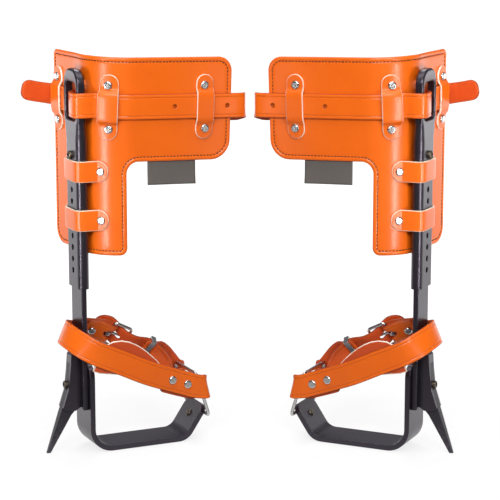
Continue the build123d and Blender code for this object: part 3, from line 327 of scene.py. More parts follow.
def loop_round(corners, step):
    """A closed outline, anticlockwise, that rounds off corners given as (run, level, radius)."""
    loop = []
    for i, (x, y, radius) in enumerate(corners):
        before = Vector(corners[i - 1][:2]) - Vector((x, y))
        after = Vector(corners[(i + 1) % len(corners)][:2]) - Vector((x, y))
        before.normalize()
        after.normalize()
        half = acos(max(-1.0, min(1.0, before.dot(after)))) / 2
        start = Vector((x, y)) + before * (radius / tan(half))
        end = Vector((x, y)) + after * (radius / tan(half))
        middle = Vector((x, y)) + (before + after).normalized() * (radius / sin(half))
        first = atan2(start.y - middle.y, start.x - middle.x)
        swing = atan2(end.y - middle.y, end.x - middle.x) - first
        swing = (swing + pi) % (2 * pi) - pi
        count = max(2, int(abs(swing) * radius / min(step, radius * 0.22)) + 1)
        for k in range(count + 1):
            angle = first + swing * k / count
            loop.append(middle + Vector((cos(angle), sin(angle))) * radius)
    filled = []
    for here, there in zip(loop, loop[1:] + loop[:1]):
        gap = there - here
        count = max(1, int(gap.length / step + 0.5))
        if gap.length > 1e-6:
            filled += [here + gap * (k / count) for k in range(count)]
    return filled


def drawn_in(loop, inset):
    """An outline moved in towards the leather; anticlockwise outlines shrink, clockwise ones grow."""
    moved = []
    for before, here, after in zip(loop[-1:] + loop[:-1], loop, loop[1:] + loop[:1]):
        along = ((here - before).normalized() + (after - here).normalized()).normalized()
        moved.append(here + Vector((-along.y, along.x)) * inset)
    return moved


def inside(point, loop):
    """Whether a point lies within an outline."""
    within = False
    for a, b in zip(loop, loop[1:] + loop[:1]):
        if (a.y > point.y) != (b.y > point.y):
            if point.x < (b.x - a.x) * (point.y - a.y) / (b.y - a.y) + a.x:
                within = not within
    return within


def hole_profile(profile):
    """The part of an edge profile that a hole's edge has, with a flat ring round it."""
    return [p for p in profile if p[0] < 1.0] + [(HOLE_RING, 0.0)]


def cut_piece(outline, holes, grid, thick, face, back, carry):
    """Leather or felt cut to an outline with holes. face and back are edge profiles as (inset, height)
    pairs, from the cut edge inwards, over the two faces. carry takes (run, level, lift) to the spike's
    own frame."""
    loops = [outline, *holes]
    points, faces, rim, groove, under = [], [], [], [], []
    for profile, turned in ((face, 1), (back, -1)):
        inner_loops = []
        for number, loop in enumerate(loops):
            steps = profile if number == 0 else hole_profile(profile)
            last = None
            for inset, height in steps:
                ring = drawn_in(loop, inset)
                start = len(points)
                points += [(p.x, p.y, turned * (thick / 2 + height)) for p in ring]
                rim += [inset] * len(ring)
                # Painted shade mark: one on the outline's creased line and HOLE_SHADE at a hole's cut edge,
                # where the leather's colour is darkened.
                shade = float(inset == CREASE_INSET) if number == 0 else HOLE_SHADE * (inset == 0.0)
                groove += [shade] * len(ring)
                under += [float(turned < 0)] * len(ring)
                if last is not None:
                    for i in range(len(ring)):
                        j = (i + 1) % len(ring)
                        quad = (last + i, last + j, start + j, start + i)
                        faces.append(quad if turned > 0 else quad[::-1])
                last = start
            inner_loops.append((start, ring))
        flat = [Vector(points[start + i][:2]) for start, ring in inner_loops for i in range(len(ring))]
        names = [start + i for start, ring in inner_loops for i in range(len(ring))]
        bounds, base, hole_of = [], 0, []
        for number, (start, ring) in enumerate(inner_loops):
            bounds += [(base + i, base + (i + 1) % len(ring)) for i in range(len(ring))]
            base += len(ring)
            hole_of += [number] * len(ring)
        rings = [ring for start, ring in inner_loops]
        for p in grid:
            p = Vector(p)
            if inside(p, rings[0]) and not any(inside(p, ring) for ring in rings[1:]):
                if min((p - q).length_squared for q in flat[:base]) > GRID_CLEAR:
                    flat.append(p)
                    names.append(len(points))
                    points.append((p.x, p.y, turned * (thick / 2 + profile[-1][1])))
                    rim.append(INNER_RIM)
                    groove.append(0.0)
                    under.append(float(turned < 0))
        _, _, tris, origins, _, _ = delaunay_2d_cdt(flat, bounds, [], 2, 1e-7)
        for tri in tris:
            tri = [origins[k][0] for k in tri]
            owners = {hole_of[k] if k < base else 0 for k in tri}
            if len(owners) == 1 and owners != {0}:
                continue
            tri = tuple(names[k] for k in tri)
            a, b, c = (Vector(points[k][:2]) for k in tri)
            if ((b - a).cross(c - a) > 0) != (turned > 0):
                tri = tri[::-1]
            faces.append(tri)
    top, low = 0, under.index(1.0)
    for number, loop in enumerate(loops):
        for i in range(len(loop)):
            j = (i + 1) % len(loop)
            faces.append((low + i, low + j, top + j, top + i))
        top += len(loop) * len(face if number == 0 else hole_profile(face))
        low += len(loop) * len(back if number == 0 else hole_profile(back))
    return [carry(*p) for p in points], faces, {"rim": rim, "groove": groove, "under": under}


def make_pair(name, piece, finish, body, nodes):
    """The left piece, set out in its spike's place, and its mirror image. Both ride on their spike's body,
    hide the nodes they stand in for and take the finish's material."""
    points, faces, marks = piece
    made = []
    for side, hand in (("left", 1), ("right", -1)):
        mesh = bpy.data.meshes.new(f"{side}_{name}")
        verts = []
        for x, y, z in points:
            out = SPIKE_OUT + x * cos(SPIKE_TURN) - y * sin(SPIKE_TURN)
            deep = SPIKE_BACK + x * sin(SPIKE_TURN) + y * cos(SPIKE_TURN)
            verts.append((hand * out / 1000, deep / 1000, z / 1000))
        mesh.from_pydata(verts, [], [f if hand > 0 else f[::-1] for f in faces])
        mesh.shade_smooth()
        for mark, values in marks.items():
            mesh.attributes.new(mark, "FLOAT", "POINT").data.foreach_set("value", values)
        mesh.materials.append(finish.material)
        piece = bpy.data.objects.new(f"{side}_{name}", mesh)
        scene.collection.objects.link(piece)
        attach(piece, f"{side}_{body}")
        if nodes:
            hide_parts(*[f"{side}_{node}" for node in nodes])
        made.append(piece)
    return made


def on_pad(run, level, lift):
    """A place on the pad's outer face in the spike's frame, by its distance round from the bend's start."""
    turn = min(max(run / PAD_BEND, 0.0), pi / 2)
    lean = min(max((FLARE_RUN - run) / FLARE_BEND, 0.0), FLARE)
    past = max(run, FLARE_RUN) - turn * PAD_BEND
    rest = max(FLARE_RUN - run, 0.0) - lean * FLARE_BEND
    x = PAD_FACE + PAD_BEND * (1 - cos(turn)) + sin(turn) * past
    x = x - FLARE_BEND * (1 - cos(lean)) - sin(lean) * rest
    y = PAD_BEND_START - PAD_BEND * sin(turn) - cos(turn) * past
    y = y + FLARE_BEND * sin(lean) + cos(lean) * rest
    return x - cos(turn + lean) * lift, y - sin(turn + lean) * lift, level


PAD_CORNERS = [
    (-67.2, 438.0, 7.0),
    (-67.2, 222.0, 18.0),
    (61.9, 222.0, 8.0),
    (61.9, 324.2, 13.0),
    (182.7, 319.9, 22.0),
    (186.6, 432.4, 16.0),
    (20.0, 438.0, 30.0),
]
pad_loop = loop_round(PAD_CORNERS, 2.4)
STRAP_LEVEL = 385.8
DROOP = tan(radians(2.0))
KEEPER_DROP = 0.7
KEEPER_PLACES = ((-53.0, 0.0), (43.5, -2.5), (152.1, -2.0))
KEEPERS = [(run, STRAP_LEVEL - KEEPER_DROP - max(run, 0.0) * DROOP, tilt) for run, tilt in KEEPER_PLACES]
KEEPER_RIVET_RISE = 23.5
SHANK_KEEPER_LEVELS = (313.8, 260.5)
SHANK_TAB_END = radians(54.0) * PAD_BEND
SHANK_TAB_RIVET = radians(43.5) * PAD_BEND
SHANK_BACK_RIVET = -30.0
RIVET_HOLE = 2.05
rivet_spots = []
for run, level, _ in KEEPERS:
    rivet_spots += [(run, level + KEEPER_RIVET_RISE), (run, level - KEEPER_RIVET_RISE)]
for level in SHANK_KEEPER_LEVELS:
    rivet_spots += [(SHANK_TAB_RIVET, level), (SHANK_BACK_RIVET, level)]


def round_hole(run, level, radius, count=16):
    """A hole's outline, clockwise."""
    turns = [2 * pi * k / count for k in range(count)]
    return [Vector((run + radius * cos(turn), level - radius * sin(turn))) for turn in turns]


pad_grid = [(run, level) for run in range(-64, 186, 4) for level in range(225, 438, 4)]
SEAM_INSET = 5.0
pad_edge = [
    (0.0, -0.95),
    (0.3, -0.30),
    (0.9, 0.15),
    (2.2, 0.48),
    (3.6, 0.36),
    (4.4, -0.04),
    (5.0, -0.40),
    (5.6, -0.14),
    (6.6, 0.0),
]
pad_skin = cut_piece(
    pad_loop,
    [round_hole(run, level, RIVET_HOLE) for run, level in rivet_spots],
    pad_grid,
    PAD_LEATHER,
    pad_edge,
    [(0.0, -0.95), (0.4, -0.2), (0.9, 0.0)],
    lambda run, level, lift: on_pad(run, level, lift - PAD_LEATHER / 2),
)


def dyed_leather(name, ground, shade, raw, flesh, gloss=0.27, crease_shade=0.0, raw_width=0.45):
    """Tanned leather dyed through, fine embossed grain, burnished or raw cut edge, painted shade in creases
    and holes.
    """
    hide = Finish(name)
    place = hide.add("ShaderNodeTexCoord", {}, {}, "Object")
    rim = hide.mark("rim")
    under = hide.mark("under")
    cloud = hide.noise(28.0, 4.0, place)
    mottle = hide.noise(240.0, 3.0, place)
    cells = {"Vector": place, "Scale": 1500.0}
    pore = hide.add("ShaderNodeTexVoronoi", {"feature": "F1"}, cells, "Distance")
    fine = hide.noise(3600.0, 2.0, place)
    edge = ((1.0 - rim / raw_width) * 1.6).clamped()
    # Painted shade: the colour is darker along the grooves of the creases and round the holes, where shade
    # falls.
    painted_groove_shade = hide.mark("groove") * (1.0 - under)
    dye = hide.mix((cloud * 0.75 + mottle * 0.25 - 0.18).clamped(), shade, ground)
    suede = hide.mix(mottle, [c * 0.85 for c in flesh], flesh)
    top = hide.mix(under, dye, suede)
    cut = hide.mix(mottle, raw, [c * 0.86 for c in raw])
    whole = hide.mix(edge, top, cut)
    hide.set(
        base_color=hide.mix((painted_groove_shade * crease_shade).clamped(), whole, [c * 0.30 for c in shade]),
        roughness=gloss + 0.08 * mottle + 0.30 * under + 0.2 * edge,
        specular_ior_level=0.45,
        normal=hide.bump(pore * 0.6 + fine * 0.4, 0.00006, 0.22),
    )
    return hide


ORANGE = (0.90, 0.165, 0.0045)
ORANGE_DEEP = (0.78, 0.120, 0.0035)
FLESH = (0.76, 0.098, 0.008)
pad_hide = dyed_leather("pad_leather", ORANGE, ORANGE_DEEP, (0.46, 0.075, 0.006), FLESH)
for skin in make_pair("pad_skin", pad_skin, pad_hide, "leg_piece", ["calf_pad"]):
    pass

# The pad's lining: thick grey needle felt behind the leather, cut a little smaller, with round openings
# where the rivets' inner caps sit below its face.
PAD_LINING = 2.8
CAP_OPENING = 5.05
lining_loop = drawn_in(pad_loop, 0.9)
lining_skin = cut_piece(
    lining_loop,
    [round_hole(run, level, CAP_OPENING, 20) for run, level in rivet_spots],
    pad_grid,
    PAD_LINING,
    [(0.0, -0.6), (0.5, 0.0)],
    [(0.0, -0.9), (0.4, -0.3), (1.2, 0.0), (3.2, -0.05), (4.1, -0.5), (5.0, -0.05)],
    lambda run, level, lift: on_pad(run, level, lift - PAD_LEATHER - PAD_LINING / 2),
)
felt = Finish("grey_felt")
felt_place = felt.add("ShaderNodeTexCoord", {}, {}, "Object")
clump = felt.noise(160.0, 5.0, felt_place, 0.6)
fuzz = felt.noise(2800.0, 3.0, felt_place, 0.7)
felt.set(
    base_color=felt.mix(clump * 0.6 + fuzz * 0.4, (0.135, 0.135, 0.145), (0.27, 0.27, 0.285)),
    roughness=0.95,
    specular_ior_level=0.15,
    normal=felt.bump(fuzz * 0.6 + clump * 0.4, 0.0005, 0.6),
)
for skin in make_pair("pad_felt", lining_skin, felt, "leg_piece", ["pad_lining"]):
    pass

# The pad's seam: a lock stitch in dark waxed thread, five millimetres in from the edge all round, lying in
# its groove on the leather and showing again on the felt.
STITCH_PITCH = 3.9
STITCH_LENGTH = 3.0
STITCH_SHARES = (-1.0, -0.86, -0.45, 0.0, 0.45, 0.86, 1.0)
THREAD = 0.5
THREAD_FACETS = 8
SEAM_LIFT = -0.18
INNER_SEAM_LIFT = PAD_LEATHER + PAD_LINING - 0.42


def stitches(loop, lift, carry):
    """A row of thread stitches along a closed outline, each a short rounded bar that dips at its ends."""
    points, faces = [], []
    total = sum((b - a).length for a, b in zip(loop, loop[1:] + loop[:1]))
    count = round(total / STITCH_PITCH)
    starts = [total * (k + 0.5) / count for k in range(count)]
    gone = 0.0
    for a, b in zip(loop, loop[1:] + loop[:1]):
        length = (b - a).length
        while starts and starts[0] <= gone + length:
            middle = a + (b - a) * ((starts.pop(0) - gone) / length)
            along = (b - a).normalized()
            side = Vector((-along.y, along.x))
            base = len(points)
            for share in STITCH_SHARES:
                spot = middle + along * (share * STITCH_LENGTH / 2)
                girth = THREAD * (0.35 if abs(share) == 1.0 else 0.85 if abs(share) > 0.8 else 1.0)
                sink = THREAD * 1.1 * abs(share) ** 3
                for k in range(THREAD_FACETS):
                    turn = 2 * pi * k / THREAD_FACETS
                    off = spot + side * (girth * 1.15 * cos(turn))
                    points.append(carry(off.x, off.y, lift - sink + girth * sin(turn)))
            end = len(points) - THREAD_FACETS
            for here in range(base, end, THREAD_FACETS):
                ahead = here + THREAD_FACETS
                for k in range(THREAD_FACETS):
                    n = (k + 1) % THREAD_FACETS
                    faces.append((here + k, here + n, ahead + n, ahead + k))
            faces.append(tuple(base + k for k in reversed(range(THREAD_FACETS))))
            faces.append(tuple(end + k for k in range(THREAD_FACETS)))
        gone += length
    return points, faces, {}


waxed_thread = Finish("waxed_thread")
ply = waxed_thread.noise(1800.0, 2.0)
waxed_thread.set(
    base_color=waxed_thread.mix(ply, (0.012, 0.007, 0.005), (0.034, 0.018, 0.012)),
    roughness=0.55 + 0.1 * ply,
    normal=waxed_thread.bump(ply, 0.0001, 0.5),
)
seam_loop = drawn_in(pad_loop, SEAM_INSET)
make_pair("pad_seam", stitches(seam_loop, SEAM_LIFT, on_pad), waxed_thread, "leg_piece", [])
inner_seam = stitches(seam_loop, INNER_SEAM_LIFT, lambda run, level, lift: on_pad(run, level, -lift))
inner_seam = (inner_seam[0], [f[::-1] for f in inner_seam[1]], {})
make_pair("pad_inner_seam", inner_seam, waxed_thread, "leg_piece", [])

# The strap keepers: half-round-ended tabs of the pad's orange leather, riveted to it above and below the
# calf strap and standing off it so that the strap runs through. Their cut edges are left pale.
KEEPER_THICK = 2.4
KEEPER_WIDTH = 20.0
KEEPER_GRID = (-6.5, -3.0, 0.0, 3.0, 6.5)
KEEPER_RIVET_INSET = 10.5
TAB_LIFT = 1.3
CORNER_STEPS = 8
CORNER_CLEAR = 0.6
keeper_hide = dyed_leather("keeper_leather", ORANGE, ORANGE_DEEP, (0.90, 0.76, 0.62), FLESH, raw_width=0.9)


def smooth_path(knots, steps=12):
    """Points on a smooth curve through the given ones."""
    ends = [knots[0] * 2 - knots[1], *knots, knots[-1] * 2 - knots[-2]]
    curve = []
    for a, b, c, d in zip(ends, ends[1:], ends[2:], ends[3:]):
        for k in range(steps):
            t = k / steps
            bow = (a * 2 - b * 5 + c * 4 - d) * t**2
            twist = (b * 3 - a - c * 3 + d) * t**3
            curve.append((b * 2 + (c - a) * t + bow + twist) * 0.5)
    return curve + [knots[-1]]


class Route:
    """The middle line of a strap: places and width directions along it, by distance from its start."""

    def __init__(self, knots, widths, steps=12):
        self.places = smooth_path([Vector(k) for k in knots], steps)
        self.widths = smooth_path([Vector(w) for w in widths], steps)
        self.steps = steps
        self.run = [0.0]
        for a, b in zip(self.places, self.places[1:]):
            self.run.append(self.run[-1] + (b - a).length)
        self.length = self.run[-1]

    def knot(self, number):
        """The distance along the strap at one of the knots it was drawn through."""
        return self.run[number * self.steps]

    def rows(self, longest=4.0, bend=9.0):
        """Distances along the strap, close together where it bends."""
        picked, heading = [0.0], None
        for i in range(len(self.places) - 1):
            along = (self.places[i + 1] - self.places[i]).normalized()
            heading = heading or along
            if heading.angle(along) > radians(bend) or self.run[i] - picked[-1] > longest:
                if self.run[i] - picked[-1] > 0.5:
                    picked.append(self.run[i])
                    heading = along
        return picked + [self.length]

    def carry(self, run, across, lift):
        """A place by its distance along the strap, across it and out of its face."""
        run = min(max(run, 0.0), self.length)
        low, high = 0, len(self.run) - 1
        while high - low > 1:
            middle = (low + high) // 2
            low, high = (middle, high) if self.run[middle] <= run else (low, middle)
        share = (run - self.run[low]) / max(self.run[high] - self.run[low], 1e-9)
        place = self.places[low].lerp(self.places[high], share)
        width = self.widths[low].lerp(self.widths[high], share)
        ahead = (self.places[min(high + 1, len(self.places) - 1)] - self.places[high]).normalized()
        behind = (self.places[high] - self.places[low]).normalized()
        before = (self.places[low] - self.places[max(low - 1, 0)]).normalized()
        along = (behind + (ahead if share > 0.5 else before) * abs(share - 0.5)).normalized()
        width = (width - along * width.dot(along)).normalized()
        return place + width * across + along.cross(width) * lift


def strip_outline(rows, width, start_round, end_round):
    """A strap's flat outline, anticlockwise, with its rows of points along both edges and rounded ends."""
    half, last = width / 2, rows[-1]
    edge = [u for u in rows if start_round + CORNER_CLEAR < u < last - end_round - CORNER_CLEAR]
    loop = [Vector((u, -half)) for u in edge]
    for hand, first in ((-1, -pi / 2), (1, 0.0)):
        for k in range(CORNER_STEPS + 1):
            angle = first + pi / 2 * k / CORNER_STEPS
            across = hand * (half - end_round) + end_round * sin(angle)
            loop.append(Vector((last - end_round + end_round * cos(angle), across)))
    loop += [Vector((u, half)) for u in reversed(edge)]
    for hand, first in ((1, pi / 2), (-1, pi)):
        for k in range(CORNER_STEPS + 1):
            angle = first + pi / 2 * k / CORNER_STEPS
            across = hand * (half - start_round) + start_round * sin(angle)
            loop.append(Vector((start_round * (1 + cos(angle)), across)))
    return [p for p, q in zip(loop, loop[1:] + loop[:1]) if (p - q).length > 1e-4]


plain_edge = [(0.0, -0.8), (0.22, -0.26), (0.7, 0.0), (1.6, 0.04)]
for (run, level, tilt), word, rise in zip(KEEPERS, ("rear", "middle", "front"), (5.1, 6.7, 5.1)):
    arch = [(35.2, TAB_LIFT), (29.0, TAB_LIFT), (22.5, TAB_LIFT), (19.6, 1.55), (17.4, 2.7)]
    arch += [(15.0, rise - 0.8), (11.5, rise - 0.1), (6.0, rise)]
    arch += [(-a, b) for a, b in reversed(arch)]
    loop_route = Route([(0.0, -a, b) for a, b in arch], [(-1.0, 0.0, 0.0)] * len(arch))
    rows = loop_route.rows(longest=3.0, bend=8.0)

    def keeper_carry(along, across, lift, run=run, level=level, tilt=radians(tilt), loop_route=loop_route):
        """A place on the tab, which is bent over the strap, tilted and laid on the pad."""
        flat = loop_route.carry(along, across, lift)
        round_pad = run + flat.x * cos(tilt) - flat.y * sin(tilt)
        return on_pad(round_pad, level + flat.x * sin(tilt) + flat.y * cos(tilt), flat.z)

    outline = strip_outline(rows, KEEPER_WIDTH, KEEPER_WIDTH / 2, KEEPER_WIDTH / 2)
    mids = [(u, v) for u in rows for v in KEEPER_GRID]
    middle = loop_route.length / 2
    holes = [round_hole(middle + hand * (middle - KEEPER_RIVET_INSET), 0.0, RIVET_HOLE) for hand in (1, -1)]
    keeper = cut_piece(outline, holes, mids, KEEPER_THICK, plain_edge, plain_edge[:3], keeper_carry)
    nodes = [f"{word}_strap_keeper"]
    make_pair(f"{word}_keeper_tab", keeper, keeper_hide, "leg_piece", nodes)

# The shank keepers: two bands of the same leather that pass round the tube and are riveted to the pad on
# either side of it, so the pad can be set up or down the shank.
TUBE_SIDE = 7.9
TUBE_EDGE = 20.9
TUBE_CENTRE = 13.0
BAND_WIDTH = 23.0
BAND_GRID = (-8.0, -4.0, 0.0, 4.0, 8.0)
BAND_LIFT = 1.4
BAND_BACK_RIVET = 10.05
BAND_FRONT_RIVET = 8.5
for level, word in zip(SHANK_KEEPER_LEVELS, ("upper", "lower")):
    knots = []
    for back, lift in ((0.0, BAND_LIFT), (6.0, BAND_LIFT), (11.0, BAND_LIFT), (13.7, 1.45), (15.7, 1.9)):
        knots.append(on_pad(SHANK_TAB_END - radians(back) * PAD_BEND, level, lift))
    for x, gap in ((12.0, 0.8), (8.0, 0.45), (4.0, 0.3), (0.0, 0.1)):
        knots.append((x, -TUBE_EDGE - gap, level))
    for centre, swings in ((-TUBE_CENTRE, (-67.5, -45.0, 0.0)), (TUBE_CENTRE, (0.0, 45.0, 67.5))):
        for swing in swings:
            y = centre + TUBE_SIDE * sin(radians(swing))
            knots.append((-TUBE_SIDE * cos(radians(swing)), y, level))
    knots += [(0.6, 21.2, level), (3.6, 24.5, level), on_pad(PAD_BEND_START - 28.9, level, 1.7)]
    knots += [on_pad(PAD_BEND_START - y, level, BAND_LIFT) for y in (32.9, 38.0, 42.0, 45.0, 47.0)]
    knots.reverse()
    band = Route(knots, [(0.0, 0.0, 1.0)] * len(knots))
    rows = band.rows(longest=3.0)
    outline = strip_outline(rows, BAND_WIDTH, BAND_WIDTH / 2, BAND_WIDTH / 2)
    mids = [(u, v) for u in rows for v in BAND_GRID]
    holes = [round_hole(u, 0.0, RIVET_HOLE) for u in (BAND_BACK_RIVET, band.length - BAND_FRONT_RIVET)]
    keeper = cut_piece(outline, holes, mids, KEEPER_THICK, plain_edge, plain_edge[:3], band.carry)
    nodes = [f"{word}_shank_keeper"]
    make_pair(f"{word}_shank_band", keeper, keeper_hide, "leg_piece", nodes)

# The calf strap: a long orange leather strap creased along both edges. It is folded and riveted round the
# buckle behind the leg, runs through the loop and the keepers, and comes back to the buckle with its
# burnished tail standing out.
STRAP_WIDTH = 27.0
STRAP_THICK = 3.0
STRAP_CORNER = 5.0
TAIL_CORNER = 10.5
TAIL_TAPER = 0.16
PANEL_PLACES = (51.7, 80.0, 154.9, 174.9)
PRONG_HOLE = 2.0
PRONG_PLACES = (98.0, 129.0, 160.0)
PRONG_SLOT = 2.6
EYE_SLOT = 2.9
PAD_SIDE = PAD_BEND_START - PAD_BEND
UP = Vector((0.0, 0.0, 1.0))


class Seat:
    """A buckle's own axes: along from its heel bar to its tip bar, across, and out from the leg or foot."""

    def __init__(self, origin, along, out):
        self.origin = Vector(origin)
        self.along = along.normalized()
        self.out = out.normalized()
        self.across = self.out.cross(self.along)

    def places(self, *spots):
        """Places given along, across and out from the buckle's heel bar."""
        return [self.origin + self.along * u + self.across * v + self.out * w for u, v, w in spots]


def buckle_fold(near, far):
    """The strap end doubled round a buckle's heel bar; near and far are its sideways shifts."""
    upper = [(-25.0, far, 1.65), (-19.0, (near + far) / 2, 1.65), (-14.0, near, 1.9), (-7.0, 0.0, 3.1)]
    upper += [(0.0, 0.0, 3.8), (2.7, 0.0, 2.7)]
    return [*upper, (3.8, 0.0, 0.0), *[(u, v, -w) for u, v, w in reversed(upper)]]


calf_turn = Vector((9.0, 82.0, STRAP_LEVEL + 0.5))
calf_return = Vector((174.9, PAD_SIDE + 16.2, STRAP_LEVEL - 12.0))
calf_along = (calf_return - calf_turn).normalized()
calf_seat = Seat(calf_turn + calf_along * 70.0, calf_along, Vector((-calf_along.y, calf_along.x, 0.0)))
doubled = calf_seat.places(*reversed(buckle_fold(0.0, 0.0)), (-40.0, 0.0, 1.65), (-56.0, 0.0, 1.6))
round_leg = [(10.0, 82.5, 0.5), (4.3, 82.2, 0.4), (0.6, 78.5, 0.2), (0.0, 73.0, 0.0)]
round_leg += [(0.4, 69.0, 0.0), (2.6, 46.0, 0.0), (4.9, 23.0, 0.0), (4.9, 19.6, 0.0)]
round_leg += [(4.65, 17.0, 0.0), (1.45, 11.0, 0.0), (-3.55, 4.5, 0.0), (-7.4, -2.0, 0.0)]
round_leg += [(-8.5, -8.5, 0.0), (-9.4, -15.0, 0.0), (-8.9, -19.6, 0.0), (-7.2, -22.3, 0.0)]
round_leg += [(-4.4, -24.0, 0.0), (-1.0, -24.6, 0.0), (5.0, -24.4, 0.0), (10.0, -23.7, 0.0)]
round_leg += [(15.2, -24.7, -0.8), (20.3, -28.3, -1.1), (26.2, -32.7, -1.4), (34.5, -36.9, -1.8)]
round_leg += [(43.6, PAD_SIDE - 1.2, -2.1)]
first_level = len(doubled) + len(round_leg)
round_leg += [(x, PAD_SIDE - 1.8, -(x + 19.0) * DROOP) for x in PANEL_PLACES]
round_leg += [(181.3, PAD_SIDE + 0.8, -7.0), (183.9, PAD_SIDE + 7.2, -8.2), (181.3, PAD_SIDE + 13.6, -11.0)]
round_leg += [(172.9, PAD_SIDE + 16.65, -12.0)]
wrapped = [Vector((x, y, STRAP_LEVEL + rise)) for x, y, rise in round_leg]
behind = [(90.0, -1.5), (45.0, -3.9), (30.0, -3.9), (22.0, -3.9), (14.0, -1.0), (7.0, 4.6)]
behind += [(0.0, 7.8), (-8.0, 8.0), (-16.0, 7.8), (-24.0, 7.3), (-34.0, 5.4), (-50.0, 5.0)]
first_behind = len(doubled) + len(wrapped)
returned = calf_seat.places(*[(u, 0.0, w) for u, w in behind])
tail = [(10.5, -0.4, -0.5), (-2.0, 7.0, -0.5), (-14.0, 7.0, 1.5), (-28.0, 3.0, 4.5), (-43.0, -2.0, 8.5)]
tail = [calf_turn + Vector(step) for step in tail]
calf_leans = [-calf_seat.across] * len(doubled) + [UP] * len(wrapped)
calf_leans += [-calf_seat.across] * len(returned) + [UP] * len(tail)
calf_route = Route(doubled + wrapped + returned + tail, calf_leans)
taper_start = calf_route.knot(first_behind + len(returned) - 2)


def calf_carry(run, across, lift):
    """The strap's own place, a little narrower towards its tail."""
    share = max(0.0, run - taper_start) / (calf_route.length - taper_start)
    return calf_route.carry(run, across * (1 - TAIL_TAPER * min(share * 1.6, 1.0)), lift)


creased_edge = [
    (0.0, -0.95),
    (0.25, -0.34),
    (0.8, 0.0),
    (2.7, 0.07),
    (3.4, -0.08),
    (CREASE_INSET, -0.42),
    (4.2, -0.08),
    (4.9, 0.03),
]
flesh_edge = [(0.0, -0.95), (0.3, -0.3), (0.8, 0.0)]
STRAP_GRID = (-7.2, -3.6, 0.0, 3.6, 7.2)


def slot_hole(start, end, half):
    """A long hole with round ends, clockwise."""
    loop = []
    for centre, turn in ((end - half, pi / 2), (start + half, -pi / 2)):
        for k in range(7):
            angle = turn - pi * k / 6
            loop.append(Vector((centre + half * cos(angle), half * sin(angle))))
    return loop


def eye_slot(route):
    """The slot for a prong's eye, in the fold round the buckle's heel bar."""
    return slot_hole(route.knot(3) + 1.0, route.knot(9) - 1.0, EYE_SLOT)


rows = calf_route.rows()
panel_run = calf_route.knot(first_level + 1)
calf_holes = [round_hole(panel_run + x - PANEL_PLACES[1], 0.0, PRONG_HOLE) for x in PRONG_PLACES]
calf_holes.append(eye_slot(calf_route))
slot_start = calf_route.knot(first_behind + 3) + 3.0
slot_end = calf_route.knot(first_behind + 6) - 2.4
calf_holes.append(slot_hole(slot_start, slot_end, PRONG_SLOT))
calf_belt = cut_piece(
    strip_outline(rows, STRAP_WIDTH, STRAP_CORNER, TAIL_CORNER),
    calf_holes,
    [(u, v) for u in rows for v in STRAP_GRID],
    STRAP_THICK,
    creased_edge,
    flesh_edge,
    calf_carry,
)
# Its flesh side is darker than the pad's, partly as painted shade for the tail, which hangs turned away from
# the light.
strap_hide = dyed_leather(
    "strap_leather",
    ORANGE,
    ORANGE_DEEP,
    raw=(0.40, 0.055, 0.004),
    flesh=(0.66, 0.08, 0.005),
    crease_shade=0.55,
    raw_width=0.8,
)
make_pair("calf_belt", calf_belt, strap_hide, "leg_piece", ["calf_strap"])

# The tag: a bare woven tape in dark grey-brown, sewn in between leather and felt at the side panel's lower
# edge. It hangs straight, with a slight curl at its free corner.
TAG_WIDTH = 56.0
TAG_DROP = 34.0
TAG_START = 67.7
TAG_TOP = 331.3
TAG_HALF = 0.4
TAG_SUNK = 0.5
TAG_COLUMNS = 26
TAG_ROWS = 18
stride = TAG_COLUMNS + 1
layer = stride * (TAG_ROWS + 1)
tag_points, tag_faces = [], []
for thick_side in (TAG_HALF, -TAG_HALF):
    for j in range(TAG_ROWS + 1):
        for i in range(stride):
            u, v = i / TAG_COLUMNS, j / TAG_ROWS
            x = TAG_START + TAG_WIDTH * u
            z = TAG_TOP - TAG_DROP * v - (x - TAG_START) * DROOP
            curl = 2.2 * max(0.0, v - 0.45) ** 2 * (0.4 + 1.3 * u * u) + 0.25 * sin(7.0 * u) * v
            tag_points.append((x, PAD_SIDE + PAD_LEATHER + TAG_SUNK - curl - thick_side, z))
for j in range(TAG_ROWS):
    for i in range(TAG_COLUMNS):
        a = j * stride + i
        quad = (a, a + stride, a + stride + 1, a + 1)
        tag_faces.append(quad)
        tag_faces.append(tuple(layer + k for k in quad[::-1]))
border = list(range(stride))
border += [j * stride + TAG_COLUMNS for j in range(1, TAG_ROWS + 1)]
border += [TAG_ROWS * stride + i for i in reversed(range(TAG_COLUMNS))]
border += [j * stride for j in reversed(range(1, TAG_ROWS))]
for a, b in zip(border, border[1:] + border[:1]):
    tag_faces.append((a, b, layer + b, layer + a))
woven = Finish("woven_tape")
weave_place = woven.add("ShaderNodeTexCoord", {}, {}, "Object")
weave = {"Vector": weave_place, "Scale": 420.0, "Distortion": 0.6}
weft = woven.add("ShaderNodeTexWave", {"bands_direction": "Z"}, weave, "Fac")
slub = woven.noise(700.0, 3.0, weave_place)
woven.set(
    base_color=woven.mix(weft * 0.5 + slub * 0.5, (0.085, 0.075, 0.069), (0.155, 0.138, 0.127)),
    roughness=0.8 + 0.1 * slub,
    specular_ior_level=0.3,
    normal=woven.bump(weft * 0.7 + slub * 0.3, 0.0001, 0.5),
)
for tag in make_pair("pad_tag", (tag_points, tag_faces, {}), woven, "leg_piece", ["pad_label"]):
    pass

# The heel strap: the same creased strap leather, from its riveted pocket on the ring, round behind the
# boot heel, to the fold that holds the foot buckle. Its upper edge is cut back to clear the ring's corner.
RING_LEG = 31.0
POCKET_END = 134.0
POCKET_WRAP = 3.85
POCKET_RIVET_HOLE = 2.1
POCKET_RIVETS = (12, 13)
RING_WAIST = 5.4
FOOT_SLOPE = radians(27.0)
FOOT_TILT = radians(35.0)
foot_along = Vector((cos(FOOT_SLOPE), 0.0, -sin(FOOT_SLOPE)))
